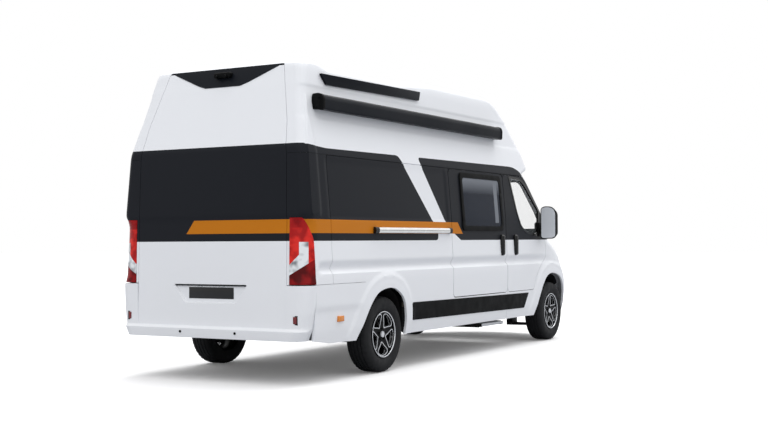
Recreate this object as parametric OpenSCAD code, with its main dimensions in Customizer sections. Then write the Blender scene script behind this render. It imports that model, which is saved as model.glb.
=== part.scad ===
// High-roof camper van, standing on its wheels.
// The front faces -Y, the vehicle's left side is +X, and the ground is Z = 0.
// Every body panel is a cut from one hollow form: a cross-section, a side profile and a plan
// outline that meet. Panels share that form, so they line up whatever its sizes are.

/* [Overall] */
// Length from the front bumper to the rear bumper
body_length = 6330; // [6200:10:7600]
// Distance between the two axles
wheelbase = 4035; // [3900:5:4850]
// Distance from the front bumper to the front axle
front_overhang = 948; // [930:1:990]
// Width of the body at its waist, without mirrors
body_width = 2056; // [1960:2:2480]
// Height of the roof's crown above the ground
roof_height = 2830; // [2760:5:3400]
// Height of the gutter where the high roof sits on the body
gutter_z = 1960; // [1900:5:2010]
// Height of the lower edge of the sills
sill_z = 330; // [280:5:380]
// Height of the floor's upper face
floor_z = 620; // [600:5:640]

/* [Panels] */
// Thickness of walls, doors and roof, with their lining
wall = 56; // [44:1:70]
// Thickness of the glass
glass_t = 6; // [4:0.5:8]
// Seam round a panel that opens
seam = 6; // [5:0.5:8]
// Clearance round a piece that is fixed in its seat
fixed_gap = 0.4; // [0.2:0.1:0.8]
// Thickness of the wheel housings
housing_t = 6; // [4:1:12]

/* [Wheels] */
// Radius of a tyre
tyre_r = 350; // [330:1:360]
// Width of a tyre
tyre_w = 225; // [205:1:235]
// Radius of the rim's flange
rim_r = 219; // [200:1:225]
// Distance between the centres of the front tyres
front_track = 1810; // [1780:2:1830]
// Distance between the centres of the rear tyres
rear_track = 1790; // [1760:2:1830]
// Radius of the front wheel arches
front_arch_r = 450; // [440:1:470]
// Radius of the rear wheel arches
rear_arch_r = 425; // [400:1:450]
// Radius of the wheel bearings' stub
spindle_r = 30; // [24:1:36]
// Running clearance on a stub
spindle_gap = 0.3; // [0.2:0.05:0.4]

/* [Running gear] */
// Lean of the steering axis, in degrees from upright
kingpin_lean = 10.5; // [8:0.5:13]
// Distance of the chassis rails from the middle
rail_x = 490; // [470:2:510]
// Width of a chassis rail
rail_w = 80; // [60:2:90]
// Depth of a chassis rail
rail_h = 110; // [90:2:130]
// Spacing of the tow bar's holes along the rails
tow_hole_spacing = 140; // [100:5:180]
// Radius of the tow bar's holes
tow_hole_r = 7; // [5.5:0.5:9]
// Outer radius of the exhaust's tailpipe
tailpipe_r = 30; // [24:1:38]

/* [Openings and equipment] */
// Length of the sliding door
slide_door_len = 1342; // [1100:2:1620]
// Length of the hatch in the roof
hatch_len = 700; // [500:5:900]
// Width of the hatch in the roof
hatch_w = 500; // [400:5:800]
// Half of the tailgate's width
gate_half = 806; // [700:1:840]
// Height of the tailgate's lower edge
gate_z = 470; // [440:1:520]
// Depth of the recess for the number plate
plate_recess = 24; // [10:1:34]
// Height of the awning's case
awning_h = 141; // [100:1:150]
// Depth of the awning's case
awning_d = 105; // [80:1:130]
// Length of the awning's case
awning_len = 3690; // [3000:10:4400]
// Length of the retracting step
step_len = 545; // [400:5:620]
// Radius of the steering wheel
steering_wheel_r = 190; // [170:1:205]

/* [Hidden] */
$fn = 64;

white = "#eceef0";
anthracite = "#2b2d31";
black = "#17181a";
steel = "#8a8d91";

body_half = body_width / 2;
front_y = -body_length / 2;
rear_y = body_length / 2;
front_axle = front_y + front_overhang;
rear_axle = front_axle + wheelbase;
rear_wall = rear_y - 42;
far = body_length;

// Where the panels part from each other, along the body
door_front = front_axle + 181;
door_rear = front_axle + 1306;
slide_front = door_rear + seam;
slide_rear = slide_front + slide_door_len;
corner_seam = rear_y - 435;
bumper_seam = rear_y - 172;
cowl_y = front_axle - 452;
cowl_z = 1262;
bumper_top = 800;
rear_bumper_top = 840;
door_bottom = 630;
arch_front_edge = front_axle - front_arch_r;

// Tailgate hinge, on the outer edge between roof and rear wall
gate_hinge = [rear_y - 295, roof_height - 90];

// Half width of the body at each height: [height, half width, share of a wall taken downwards]
side_line = [
    [200, body_half - 44, 1],
    [500, body_half - 10, 0],
    [1050, body_half, 0],
    [1210, body_half - 5, 0],
    [1440, body_half - 18, 0],
    [gutter_z, body_half - 66, 0],
    [roof_height - 130, body_half - 228, 0.3],
    [roof_height - 85, body_half - 258, 0.6],
    [roof_height - 40, body_half - 338, 0.9],
    [roof_height - 12, body_half - 500, 1],
    [roof_height, body_half - 700, 1]
];

// Side profile: [y, z, share of a wall inwards along y, the same along z]
profile_line = [
    [front_axle - 925, 200, 1, 0],
    [front_axle - 948, 450, 1, 0],
    [front_axle - 948, 620, 1, 0],
    [front_axle - 925, bumper_top, 1, 0],
    [front_axle - 880, 960, 1, 0],
    [front_axle - 820, 1060, 0.8, -0.8],
    [front_axle - 660, 1165, 0.4, -1],
    [cowl_y, cowl_z, 0.5, -1],
    [front_axle + 453, gutter_z + 25, 0.8, -0.4],
    [front_axle + 335, gutter_z + 65, 3.3, 0],
    [front_axle + 345, gutter_z + 140, 1.9, 0],
    [front_axle + 423, gutter_z + 276, 1.1, -0.3],
    [front_axle + 582, roof_height - 421, 0.9, -0.6],
    [front_axle + 748, roof_height - 233, 0.8, -0.7],
    [front_axle + 994, roof_height - 90, 0.4, -1],
    [front_axle + 1290, roof_height - 30, 0.1, -1],
    [front_axle + 1650, roof_height, 0, -1],
    [rear_y - 770, roof_height, 0, -1],
    [rear_y - 450, roof_height - 34, -0.2, -1],
    [gate_hinge[0], gate_hinge[1], -0.7, -1],
    [rear_y - 242, roof_height - 250, -1, -0.3],
    [rear_y - 78, gutter_z + 50, -1, 0],
    [rear_y - 58, 1221, -1, 0],
    [rear_wall, gate_z, -1, 0],
    [rear_wall, 200, -1, 0]
];

half_table = [for (p = side_line) [p[0], p[1]]];
rear_table = [for (k = [len(profile_line) - 1:-1:len(profile_line) - 6])
    [profile_line[k][1], profile_line[k][0]]];

// Half width of the body, and the place of its rear wall, at a height
function half_at(z) = lookup(z, half_table);
function rear_at(z) = lookup(z, rear_table);

// Points of an arc in a plane, a step apart
function arc(centre, r, from, to, step) =
    [for (a = [from:step:to]) centre + r * [cos(a), sin(a)]];

// One side of an outline and its mirror image across the first axis
function both_sides(points) =
    concat(points, [for (k = [len(points) - 1:-1:0]) [-points[k][0], points[k][1]]]);

function cross_section(inset) = both_sides([for (p = side_line)
    [p[1] - inset * (1 - 0.5 * p[2]), p[0] - inset * p[2]]]);

function side_profile(inset) = [for (p = profile_line)
    [p[0] + inset * p[2], p[1] + inset * p[3]]];

nose_r = 520;
tail_r = 120;
function plan_outline(inset) = both_sides(concat(
    [[90, front_y + inset], [300, front_y + 24 + inset]],
    arc([body_half - nose_r, front_axle - 306], nose_r - inset, -73, 0, 14.6),
    arc([body_half - tail_r, rear_wall - tail_r], tail_r - inset, 0, 90, 30)
));

// The body's outer form, moved inwards by an inset
module body_form(inset) {
    intersection() {
        rotate([90, 0, 0])
            linear_extrude(2 * far, center = true)
                polygon(cross_section(inset));
        rotate([90, 0, 90])
            linear_extrude(2 * body_half, center = true)
                polygon(side_profile(inset));
        translate([0, 0, 100 - inset])
            linear_extrude(2 * roof_height)
                polygon(plan_outline(inset));
    }
}

// The part of the body's wall, from one depth to another, that lies in the children's shape
module skin(outer = 0, inner = wall) {
    intersection() {
        difference() {
            body_form(outer);
            body_form(inner);
        }
        children();
    }
}

// A box from one corner to another
module block(low, high) {
    translate(low)
        cube(high - low);
}

// An outline in the YZ plane, carried across the left side only, from one x to another
module across(points, x0, x1) {
    translate([x0, 0, 0])
        rotate([90, 0, 90])
            linear_extrude(x1 - x0)
                polygon(points);
}

// Barrel hinge along Z. The fixed leaf runs towards -Y and carries the pin, the moving leaf
// towards +Y. Both lie on the inner side of the axis, -X.
hinge_pin_r = 4;
hinge_barrel_r = 8;
hinge_pocket_r = 14;
hinge_len = 90;
hinge_leaf_len = 26;
hinge_leaf_depth = 12;
hinge_barrel_len = hinge_len / 3 - spindle_gap;
module hinge_barrel(z, way) {
    translate([0, 0, z]) {
        cylinder(h = hinge_barrel_len, r = hinge_barrel_r, center = true);
        translate([-hinge_leaf_depth, way > 0 ? 0 : -hinge_leaf_len, -hinge_barrel_len / 2])
            cube([hinge_leaf_depth, hinge_leaf_len, hinge_barrel_len]);
    }
}

module hinge_fixed() {
    cylinder(h = hinge_len, r = hinge_pin_r, center = true);
    for (s = [-1, 1])
        hinge_barrel(s * hinge_len / 3, -1);
}

module hinge_moving() {
    difference() {
        hinge_barrel(0, 1);
        cylinder(h = hinge_len, r = hinge_pin_r + spindle_gap, center = true);
    }
}

// Room in a panel for the barrels and for the other panel's leaf
module hinge_pocket() {
    cylinder(h = hinge_len + 4, r = hinge_pocket_r, center = true);
}

// Along Z at the front edge of the left cab door
module at_door_hinges() {
    for (z = [1055, 1165])
        translate([body_half + 3, door_front - seam / 2, z])
            children();
}

// Along X at the rear edge of the bonnet, the moving leaf pointing forwards
module at_bonnet_hinges(slope = 0) {
    for (s = [-1, 1])
        translate([s * 560, cowl_y + seam / 2, cowl_z + 2])
            mirror([0, 1, 0])
                rotate([-slope, 0, 0])
                    rotate([0, -90, 0])
                        children();
}

// Along X at the tailgate's upper edge: a leaf turned down by a slope in degrees
module at_gate_hinges(slope = 0) {
    for (s = [-1, 1])
        translate([s * 668, gate_hinge[0], gate_hinge[1]])
            rotate([-slope, 0, 0])
                rotate([0, -90, 0])
                    children();
}

module mirror_x(on = true) {
    mirror([on ? 1 : 0, 0, 0])
        children();
}

module both() {
    children();
    mirror_x()
        children();
}

// Outline grown outwards by a margin, for seams round flat outlines
module grown(points, margin, x0, x1) {
    translate([x0, 0, 0])
        rotate([90, 0, 90])
            linear_extrude(x1 - x0)
                offset(delta = margin)
                    polygon(points);
}

// ---- outlines of doors and windows, in the YZ plane ----

door_outline = [
    [door_front, 1000], [door_front, 1500], [front_axle + 665, 1892],
    [front_axle + 790, gutter_z - 14], [door_rear, gutter_z - 14], [door_rear, door_bottom],
    [front_axle + 560, door_bottom], [front_axle + 475, 800], [front_axle + 340, 925]
];

door_glass_outline = [
    [front_axle + 341, 1560], [front_axle + 745, 1882], [front_axle + 860, 1912],
    [front_axle + 1102, 1912], [front_axle + 960, 1470], [front_axle + 880, 1360],
    [front_axle + 772, 1310], [front_axle + 430, 1262]
];

slide_outline = [
    [slide_front, door_bottom], [slide_rear, door_bottom],
    [slide_rear, gutter_z - 14], [slide_front, gutter_z - 14]
];

window_low = 1350;
window_high = 1900;
slide_window = [
    [slide_front + 150, window_low], [slide_rear - 200, window_low],
    [slide_rear - 200, window_high], [slide_front + 150, window_high]
];

left_window = [
    [slide_front + 300, window_low], [slide_front + 1200, window_low],
    [slide_front + 1200, window_high], [slide_front + 300, window_high]
];

rear_window = [
    [rear_axle - 350, window_low + 120], [rear_axle + 450, window_low + 120],
    [rear_axle + 450, window_high], [rear_axle - 350, window_high]
];

gate_outline = [
    gate_hinge, gate_hinge - [200, 200], [rear_wall - 300, gutter_z], [rear_wall - 300, gate_z],
    [rear_y + 10, gate_z], [rear_y + 10, gate_hinge[1]]
];

// ---- body, cut from the form ----

module wheel_arches() {
    for (s = [[front_axle, front_arch_r], [rear_axle, rear_arch_r]]) {
        translate([0, s[0], tyre_r])
            rotate([0, 90, 0])
                cylinder(h = 2 * body_width, r = s[1], center = true);
        block([-body_width, s[0] - s[1], 0], [body_width, s[0] + s[1], tyre_r]);
    }
}

bonnet_half = 748;
bonnet_low = 972;
module bonnet_zone(margin) {
    block([-bonnet_half - margin, front_y - 1, bonnet_low - margin],
        [bonnet_half + margin, cowl_y + margin, roof_height]);
}

// Front lamp outline in the XZ plane, left side
lamp_outline = [[560, 815], [880, 850], [985, 1000], [985, 1090], [780, 1030], [600, 945]];
module headlight_zone(margin) {
    both()
        translate([0, cowl_y, 0])
            rotate([90, 0, 0])
                linear_extrude(far)
                    offset(delta = margin)
                        polygon(lamp_outline);
}

screen_low = 1330;
screen_high = gutter_z - 40;
module windscreen_zone(margin) {
    translate([0, front_axle + 430, 0])
        rotate([90, 0, 0])
            linear_extrude(far)
                offset(delta = margin)
                    polygon([
                        [-800, screen_low], [800, screen_low],
                        [745, screen_high], [-745, screen_high]
                    ]);
}

bulkhead_y = front_axle + 466;
pillar_gap = 8;
pillar_t = 50;
module cab_shell() {
    color(white) {
        difference() {
            skin()
                block([-far, front_y - 1, sill_z], [far, slide_front, gutter_z]);
            for (side = [false, true])
                mirror_x(side)
                    grown(door_outline, seam, 400, far);
            windscreen_zone(0);
            bonnet_zone(seam);
            headlight_zone(fixed_gap);
            block([-far, front_y - 1, 0], [far, arch_front_edge + 60, bumper_top + fixed_gap]);
            wheel_arches();
            block([-bonnet_half - seam, front_y - 1, 0], [bonnet_half + seam, cowl_y - 60, gutter_z]);
            both()
                at_door_hinges()
                    hinge_pocket();
            at_bonnet_hinges()
                hinge_pocket();
        }
        both()
            at_door_hinges()
                hinge_fixed();
        at_bonnet_hinges()
            hinge_fixed();
        // bulkhead between the engine and the cab, with the cowl above it
        block([-half_at(1000) + wall + 20, bulkhead_y, floor_z + fixed_gap],
            [half_at(1000) - wall - 20, bulkhead_y + 30, 1080]);
    }
}

// Pillars behind the cab doors, hugging the walls from inside
module door_pillars() {
    heights = [floor_z + fixed_gap, 1050, 1210, 1440, gutter_z - 30];
    out = [for (z = heights) [half_at(z) - wall - pillar_gap, z]];
    color(white)
        both()
            translate([0, door_rear + 50, 0])
                rotate([90, 0, 0])
                    linear_extrude(90)
                        polygon(concat(out,
                            [for (k = [len(out) - 1:-1:0]) out[k] - [pillar_t, 0]]));
}

module side_panel() {
    difference() {
        skin()
            block([0, slide_front, sill_z], [far, corner_seam, gutter_z]);
        wheel_arches();
        children();
    }
}

module side_panel_left() {
    color(white)
        side_panel() {
            across(left_window, 400, far);
            across(rear_window, 400, far);
        }
}

module side_panel_right() {
    color(white)
        mirror_x()
            side_panel()
                grown(slide_outline, fixed_gap, 400, far);
}

module sliding_door() {
    color(white)
        mirror_x()
            difference() {
                skin()
                    across(slide_outline, 400, far);
                across(slide_window, 400, far);
            }
}

module pane(points) {
    skin(12, 12 + glass_t)
        grown(points, -fixed_gap, 400, far);
}

module side_windows() {
    color("#30353c") {
        pane(left_window);
        pane(rear_window);
        mirror_x()
            pane(slide_window);
    }
}

hatch_centre = [0, rear_axle - 700];
module hatch_hole(margin) {
    translate([hatch_centre[0], hatch_centre[1], roof_height])
        cube([hatch_w + 2 * margin, hatch_len + 2 * margin, 4 * wall], center = true);
}

hatch_frame_h = 14;
module high_roof() {
    color(white)
        difference() {
            union() {
                skin()
                    block([-far, front_y - 1, gutter_z], [far, rear_y, roof_height + 1]);
                translate([hatch_centre[0], hatch_centre[1], roof_height - wall / 2])
                    translate([-hatch_w / 2 - 30, -hatch_len / 2 - 30, 0])
                        cube([hatch_w + 60, hatch_len + 60, wall / 2 + hatch_frame_h]);
            }
            hatch_hole(0);
            both()
                grown(gate_outline, seam / 2, -1, gate_half + seam);
            at_gate_hinges()
                hinge_pocket();
        }
    color(white)
        at_gate_hinges(20)
            hinge_fixed();
}

tail_lamp_low = 845;
tail_lamp_high = 1412;
tail_lamp_in = 838;
module tail_lamp_zone(margin) {
    both()
        intersection() {
            block([tail_lamp_in - margin, rear_y - 172 - margin, tail_lamp_low - margin],
                [far, far, tail_lamp_high + margin]);
            grown([
                [rear_y - 172, 1220], [rear_y - 172, tail_lamp_low], [rear_y + 60, tail_lamp_low],
                [rear_y + 60, tail_lamp_high], [rear_y - 100, tail_lamp_high]
            ], margin, 0, far);
        }
}

module rear_corners() {
    color(anthracite)
        both()
            difference() {
                skin()
                    block([gate_half + seam, corner_seam, sill_z], [far, rear_y, gutter_z]);
                tail_lamp_zone(fixed_gap);
                block([0, bumper_seam - fixed_gap, 0], [far, far, rear_bumper_top + fixed_gap]);
            }
}

module tail_lamps() {
    color("#b01818")
        skin(0, wall - 10)
            tail_lamp_zone(0);
}

module headlights() {
    color("#c8ccd0")
        skin(0, wall - 10)
            difference() {
                headlight_zone(0);
                bonnet_zone(seam);
                block([-far, front_y - 1, 0], [far, arch_front_edge + 60, bumper_top + 2 * fixed_gap]);
            }
}

module windscreen() {
    color("#9fb4bc")
        skin(12, 12 + glass_t)
            windscreen_zone(-fixed_gap);
}

front_bumper_low = 252;
module front_bumper() {
    color(white)
        difference() {
            skin(0, wall)
                block([-far, front_y - 1, front_bumper_low], [far, arch_front_edge + 60, bumper_top]);
            wheel_arches();
            // cooling slots under the number plate
            for (k = [0:2])
                block([-280, front_y - 1, 400 + 60 * k], [280, front_axle - 700, 435 + 60 * k]);
            // way in to the towing eye's socket
            translate([towing_eye_x, front_y - 1, towing_eye_z])
                rotate([-90, 0, 0])
                    cylinder(h = 200, r = towing_eye_r + 15);
        }
    // nose panel with the grille, between the bumper and the bonnet
    color(black)
        skin(0, wall)
            difference() {
                block([-bonnet_half, front_y - 1, bumper_top],
                    [bonnet_half, cowl_y - 60, bonnet_low - seam]);
                headlight_zone(fixed_gap);
            }
}

bumper_low = 375;
bumper_lip = gate_z - seam / 2;
module rear_bumper() {
    color(white)
        difference() {
            translate([0, 0, bumper_low])
                linear_extrude(rear_bumper_top - bumper_low)
                    difference() {
                        polygon(both_sides([
                            [body_half - 4, bumper_seam], [body_half - 12, rear_y - 90],
                            [body_half - 75, rear_y - 12], [body_half - 160, rear_y]
                        ]));
                        polygon(both_sides([
                            [body_half - wall, bumper_seam - 1], [body_half - wall, rear_y - 110],
                            [body_half - 130, rear_wall - wall]
                        ]));
                    }
            block([-gate_half - seam, 0, bumper_lip], [gate_half + seam, far, gutter_z]);
        }
}

module bonnet() {
    color(white)
        union() {
            skin(0, 40)
                difference() {
                    bonnet_zone(0);
                    headlight_zone(fixed_gap);
                    at_bonnet_hinges()
                        hinge_pocket();
                }
            at_bonnet_hinges(25)
                hinge_moving();
        }
}

module cab_door() {
    difference() {
        skin()
            across(door_outline, 400, far);
        across(door_glass_outline, 400, far);
        at_door_hinges()
            hinge_pocket();
    }
    at_door_hinges()
        hinge_moving();
}

module cab_door_left() {
    color(white)
        cab_door();
}

module cab_door_right() {
    color(white)
        mirror_x()
            cab_door();
}

module door_glass_left() {
    color("#9fb4bc")
        pane(door_glass_outline);
}

module door_glass_right() {
    color("#9fb4bc")
        mirror_x()
            pane(door_glass_outline);
}

// Mirror on its foot at the lower front corner of the door glass
mirror_reach = 226;
mirror_low = 1245;
mirror_high = 1580;
mirror_y = front_axle + 330;
module mirror_head() {
    x0 = body_half + 24;
    color(black) {
        translate([x0, mirror_y, mirror_low])
            cube([mirror_reach - 24, 100, mirror_high - mirror_low]);
        // foot, flat against the door
        difference() {
            translate([body_half - 60, mirror_y - 60, 1275])
                cube([84 + fixed_gap, 90, 70]);
            body_form(-fixed_gap);
        }
        translate([body_half + 4, mirror_y - 30, 1290])
            cube([60, 60, 40]);
    }
}

module mirror_left() {
    mirror_head();
}

module mirror_right() {
    mirror_x()
        mirror_head();
}

module tailgate() {
    color(anthracite)
        difference() {
            skin(0, wall - 6)
                difference() {
                    both()
                        grown(gate_outline, -seam / 2, -1, gate_half);
                    at_gate_hinges()
                        hinge_pocket();
                }
            // recess for the number plate
            translate([0, rear_y, 0])
                rotate([90, 0, 0])
                    linear_extrude(rear_y - rear_at(760) + plate_recess)
                        polygon(both_sides([[416, 848], [296, 672]]));
        }
    color(anthracite)
        at_gate_hinges(72)
            hinge_moving();
}

// ---- floor, chassis and running gear ----

housing_in = 565;
rear_housing_in = 690;
housing_out = body_half - wall - 30;
rear_housing_top = 800;
front_housing_top = 872;
front_housing_len = front_arch_r + 10;
rear_housing_len = rear_arch_r + 10;
floor_t = 40;
rail_top = floor_z - floor_t;
floor_half = half_at(rail_top) - wall - fixed_gap;
frame_end = rear_y - 140;

module floor_pan() {
    color(steel)
        difference() {
            block([-floor_half, bulkhead_y, rail_top], [floor_half, rear_wall - wall - 14, floor_z]);
            both()
                block([rear_housing_in - fixed_gap, rear_axle - rear_housing_len - fixed_gap, 0],
                    [far, rear_axle + rear_housing_len + fixed_gap, gutter_z]);
        }
}

// An open box over a wheel: closed in front, behind, on top and on the inside
module housing(axle, inner, outer, reach, top) {
    difference() {
        block([inner, axle - reach, sill_z + 60], [outer, axle + reach, top]);
        block([inner + housing_t, axle - reach + housing_t, 0],
            [outer + 1, axle + reach - housing_t, top - housing_t]);
    }
}

module wheel_housings() {
    color(black)
        both() {
            difference() {
                union() {
                    housing(front_axle, housing_in, housing_out,
                        front_housing_len, front_housing_top);
                    block([housing_in, front_axle - 130, front_housing_top - housing_t],
                        [housing_in + 220, front_axle + 130, 1050]);
                }
                block([housing_in + housing_t, front_axle - 130 + housing_t, 0],
                    [housing_in + 220 - housing_t, front_axle + 130 - housing_t, 1050 - housing_t]);
                block([0, 0 - far, 0], [far, front_axle + 80 - front_arch_r, bumper_top + 2]);
            }
            housing(rear_axle, rear_housing_in, housing_out,
                rear_housing_len, rear_housing_top);
        }
}

// Lower joint on the steering axis: distance from the middle, height
kingpin_low = [front_track / 2 - 130, 225];
cup_r = 22;
arm_z = kingpin_low[1] - 57;
arm_t = 30;
beam_h = 60;
front_beam_y = front_y + 190;
engine_beam_y = front_axle - 300;
module chassis_frame() {
    color(black)
        difference() {
            union() {
                both() {
                    block([rail_x - rail_w / 2, front_beam_y, rail_top - rail_h],
                        [rail_x + rail_w / 2, frame_end, rail_top - fixed_gap]);
                    // lower arm of the front suspension, with the joint's cup at its end
                    translate([0, front_axle, arm_z])
                        linear_extrude(arm_t)
                            polygon([
                                [rail_x - rail_w / 2, -70], [rail_x + rail_w / 2, -70],
                                [kingpin_low[0] - 20, -24], [kingpin_low[0] + 8, -16],
                                [kingpin_low[0] + 8, 16], [kingpin_low[0] - 20, 24],
                                [rail_x + rail_w / 2, 70], [rail_x - rail_w / 2, 70]
                            ]);
                    block([rail_x - rail_w / 2, front_axle - 70, arm_z],
                        [rail_x + rail_w / 2, front_axle + 70, rail_top - rail_h + 5]);
                    translate([kingpin_low[0], front_axle, kingpin_low[1]])
                        rotate([0, -kingpin_lean, 0])
                            translate([0, 0, -48])
                                cylinder(h = 30, r = cup_r);
                }
                for (y = [front_beam_y, engine_beam_y, front_axle + 500, -200, rear_axle - 700,
                    rear_axle + 640, frame_end - beam_h])
                    block([-rail_x, y, rail_top - rail_h],
                        [rail_x, y + beam_h, rail_top - rail_h + beam_h]);
                step_runners();
            }
            for (s = [-1, 1], k = [-0.5, 0.5])
                translate([s * rail_x, tow_y + k * tow_hole_spacing, rail_top - rail_h - 1])
                    cylinder(h = rail_h + 2, r = tow_hole_r);
            // threaded socket for the towing eye
            translate([towing_eye_x, front_beam_y - 1, towing_eye_z])
                rotate([-90, 0, 0])
                    cylinder(h = beam_h - 9, r = towing_eye_r);
        }
}

tow_y = frame_end - 200;
towing_eye_x = 330;
towing_eye_z = rail_top - rail_h + beam_h / 2;
towing_eye_r = 10;

// Retracting step under the right sill, between two runners that hang from the rail
step_y = slide_front + 79;
step_top = 312;
step_t = 30;
step_out = body_half - 28;
runner_w = 12;
runner_h = 44;
module step_runners() {
    for (y = [step_y - runner_w - fixed_gap, step_y + step_len + fixed_gap]) {
        block([-step_out + 30, y, step_top + 4 - runner_h],
            [-rail_x + rail_w / 2, y + runner_w, step_top + 4]);
        block([-rail_x - rail_w / 2, y, step_top],
            [-rail_x + rail_w / 2, y + runner_w, rail_top - rail_h + 2]);
    }
}

module side_step() {
    color("#b9bdc2")
        block([-step_out, step_y, step_top - step_t],
            [-rail_x - rail_w / 2, step_y + step_len, step_top]);
}

module engine() {
    color(steel)
        block([-360, front_axle - 470, rail_top - rail_h + beam_h + fixed_gap],
            [360, front_axle + 60, 960]);
}

module fuel_tank() {
    color(black)
        block([rail_x + rail_w / 2 + fixed_gap, front_axle + 900, 330],
            [rail_x + rail_w / 2 + 340, front_axle + 1900, rail_top - fixed_gap]);
}

tailpipe_y = rear_y - 145;
exhaust_x = -690;
exhaust_z = 430;
module exhaust() {
    color(steel) {
        // silencer with its tailpipe, hung under the floor behind the rear wheel
        difference() {
            union() {
                translate([exhaust_x, rear_axle + 560, exhaust_z])
                    rotate([-90, 0, 0])
                        cylinder(h = 420, r = 90);
                translate([exhaust_x, rear_axle + 560 + 419, exhaust_z])
                    rotate([-90, 0, 0])
                        cylinder(h = tailpipe_y - rear_axle - 979, r = tailpipe_r);
                translate([exhaust_x - 20, rear_axle + 700, exhaust_z])
                    cube([40, 60, rail_top - exhaust_z - fixed_gap]);
            }
            translate([exhaust_x, rear_axle + 600, exhaust_z])
                rotate([-90, 0, 0])
                    cylinder(h = far, r = tailpipe_r - 4);
        }
    }
}

axle_beam_z = 300;
spring_w = 70;
module rear_axle() {
    color(black)
        both() {
            rotate([0, 90, 0])
                translate([-axle_beam_z, rear_axle, 0])
                    cylinder(h = rear_track / 2 - 100, r = 38);
            block([rear_track / 2 - 112, rear_axle - 50, axle_beam_z - 40],
                [rear_track / 2 - 90, rear_axle + 50, tyre_r + 50]);
            translate([rear_track / 2 - 91, rear_axle, tyre_r])
                rotate([0, 90, 0])
                    cylinder(h = 101, r = spindle_r);
        }
}

spring_len = 1300;
module leaf_springs() {
    color("#33363a")
        both()
            translate([rail_x - spring_w / 2, rear_axle, 0]) {
                translate([0, -spring_len / 2, axle_beam_z + 38 + fixed_gap])
                    cube([spring_w, spring_len, 24]);
                translate([0, -spring_len / 4, axle_beam_z + 62])
                    cube([spring_w, spring_len / 2, 16]);
                for (y = [-spring_len / 2, spring_len / 2 - 40])
                    translate([0, y, axle_beam_z + 38 + fixed_gap])
                        cube([spring_w, 40, rail_top - rail_h - axle_beam_z - 38 - 2 * fixed_gap]);
            }
}

// Hub carrier with its strut, on the leaning steering axis
strut_r = 28;
spring_r = 58;
strut_len = 790;
module knuckle() {
    hub_x = front_track / 2;
    color("#3a3d41") {
        translate([kingpin_low[0], front_axle, kingpin_low[1]])
            rotate([0, -kingpin_lean, 0]) {
                translate([0, 0, -17.5])
                    cylinder(h = strut_len, r = strut_r);
                translate([0, 0, 420])
                    cylinder(h = 340, r = spring_r);
            }
        block([kingpin_low[0] - 40, front_axle - 45, tyre_r - 70],
            [hub_x - 90, front_axle + 45, tyre_r + 70]);
        translate([hub_x - 91, front_axle, tyre_r])
            rotate([0, 90, 0])
                cylinder(h = 101, r = spindle_r);
    }
}

module knuckle_left() {
    knuckle();
}

module knuckle_right() {
    mirror_x()
        knuckle();
}

// ---- wheels ----

// Half section of a tyre: [radius, distance from its middle plane]
function tyre_section() = [
    [rim_r - 14, -tyre_w / 2 + 22], [rim_r + 10, -tyre_w / 2 + 10], [rim_r + 45, -tyre_w / 2],
    [tyre_r - 55, -tyre_w / 2], [tyre_r - 18, -tyre_w / 2 + 12], [tyre_r - 3, -tyre_w / 2 + 30],
    [tyre_r, -tyre_w / 4], [tyre_r, tyre_w / 4], [tyre_r - 3, tyre_w / 2 - 30],
    [tyre_r - 18, tyre_w / 2 - 12], [tyre_r - 55, tyre_w / 2], [rim_r + 45, tyre_w / 2],
    [rim_r + 10, tyre_w / 2 - 10], [rim_r - 14, tyre_w / 2 - 22]
];

module tyre(track, axle) {
    color("#1c1c1e")
        translate([track / 2, axle, tyre_r])
            rotate([0, 90, 0])
                rotate_extrude($fn = 96)
                    polygon(tyre_section());
}

module rim(track, axle) {
    outer = tyre_w / 2 - 12;
    seat_r = rim_r - 14 - fixed_gap;
    color("#6d7074")
        translate([track / 2, axle, tyre_r])
            rotate([0, 90, 0])
                difference() {
                    rotate_extrude($fn = 96)
                        polygon([
                            [seat_r - 14, -outer], [seat_r, -outer], [seat_r, outer],
                            [seat_r - 14, outer], [seat_r - 20, outer - 20], [90, outer - 50],
                            [70, outer - 40], [spindle_r + spindle_gap, outer - 40],
                            [spindle_r + spindle_gap, -85], [140, -85], [140, -65],
                            [75, -65], [75, outer - 80], [seat_r - 20, outer - 50]
                        ]);
                    for (a = [0:72:359])
                        rotate([0, 0, a + 36])
                            translate([0, 0, 0])
                                linear_extrude(outer + 1)
                                    polygon([[92, -16], [170, -58], [170, 58], [92, 16]]);
                }
}

module tyre_front_left() {
    tyre(front_track, front_axle);
}

module tyre_front_right() {
    mirror_x()
        tyre(front_track, front_axle);
}

module tyre_rear_left() {
    tyre(rear_track, rear_axle);
}

module tyre_rear_right() {
    mirror_x()
        tyre(rear_track, rear_axle);
}

module rim_front_left() {
    rim(front_track, front_axle);
}

module rim_front_right() {
    mirror_x()
        rim(front_track, front_axle);
}

module rim_rear_left() {
    rim(rear_track, rear_axle);
}

module rim_rear_right() {
    mirror_x()
        rim(rear_track, rear_axle);
}

// ---- equipment ----

awning_low = roof_height - 493;
awning_rear = rear_y - 355;
module awning() {
    top = awning_low + awning_h;
    color(anthracite)
        translate([0, awning_rear, 0])
            rotate([90, 0, 0])
                linear_extrude(awning_len)
                    polygon([
                        [-half_at(awning_low) - fixed_gap, awning_low],
                        [-half_at(awning_low) - awning_d + 15, awning_low - 4],
                        [-half_at(awning_low) - awning_d, awning_low + 30],
                        [-half_at(awning_low) - awning_d + 8, top - 35],
                        [-half_at(top) - 45, top], [-half_at(top - 4) - fixed_gap, top - 4]
                    ]);
}

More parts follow.
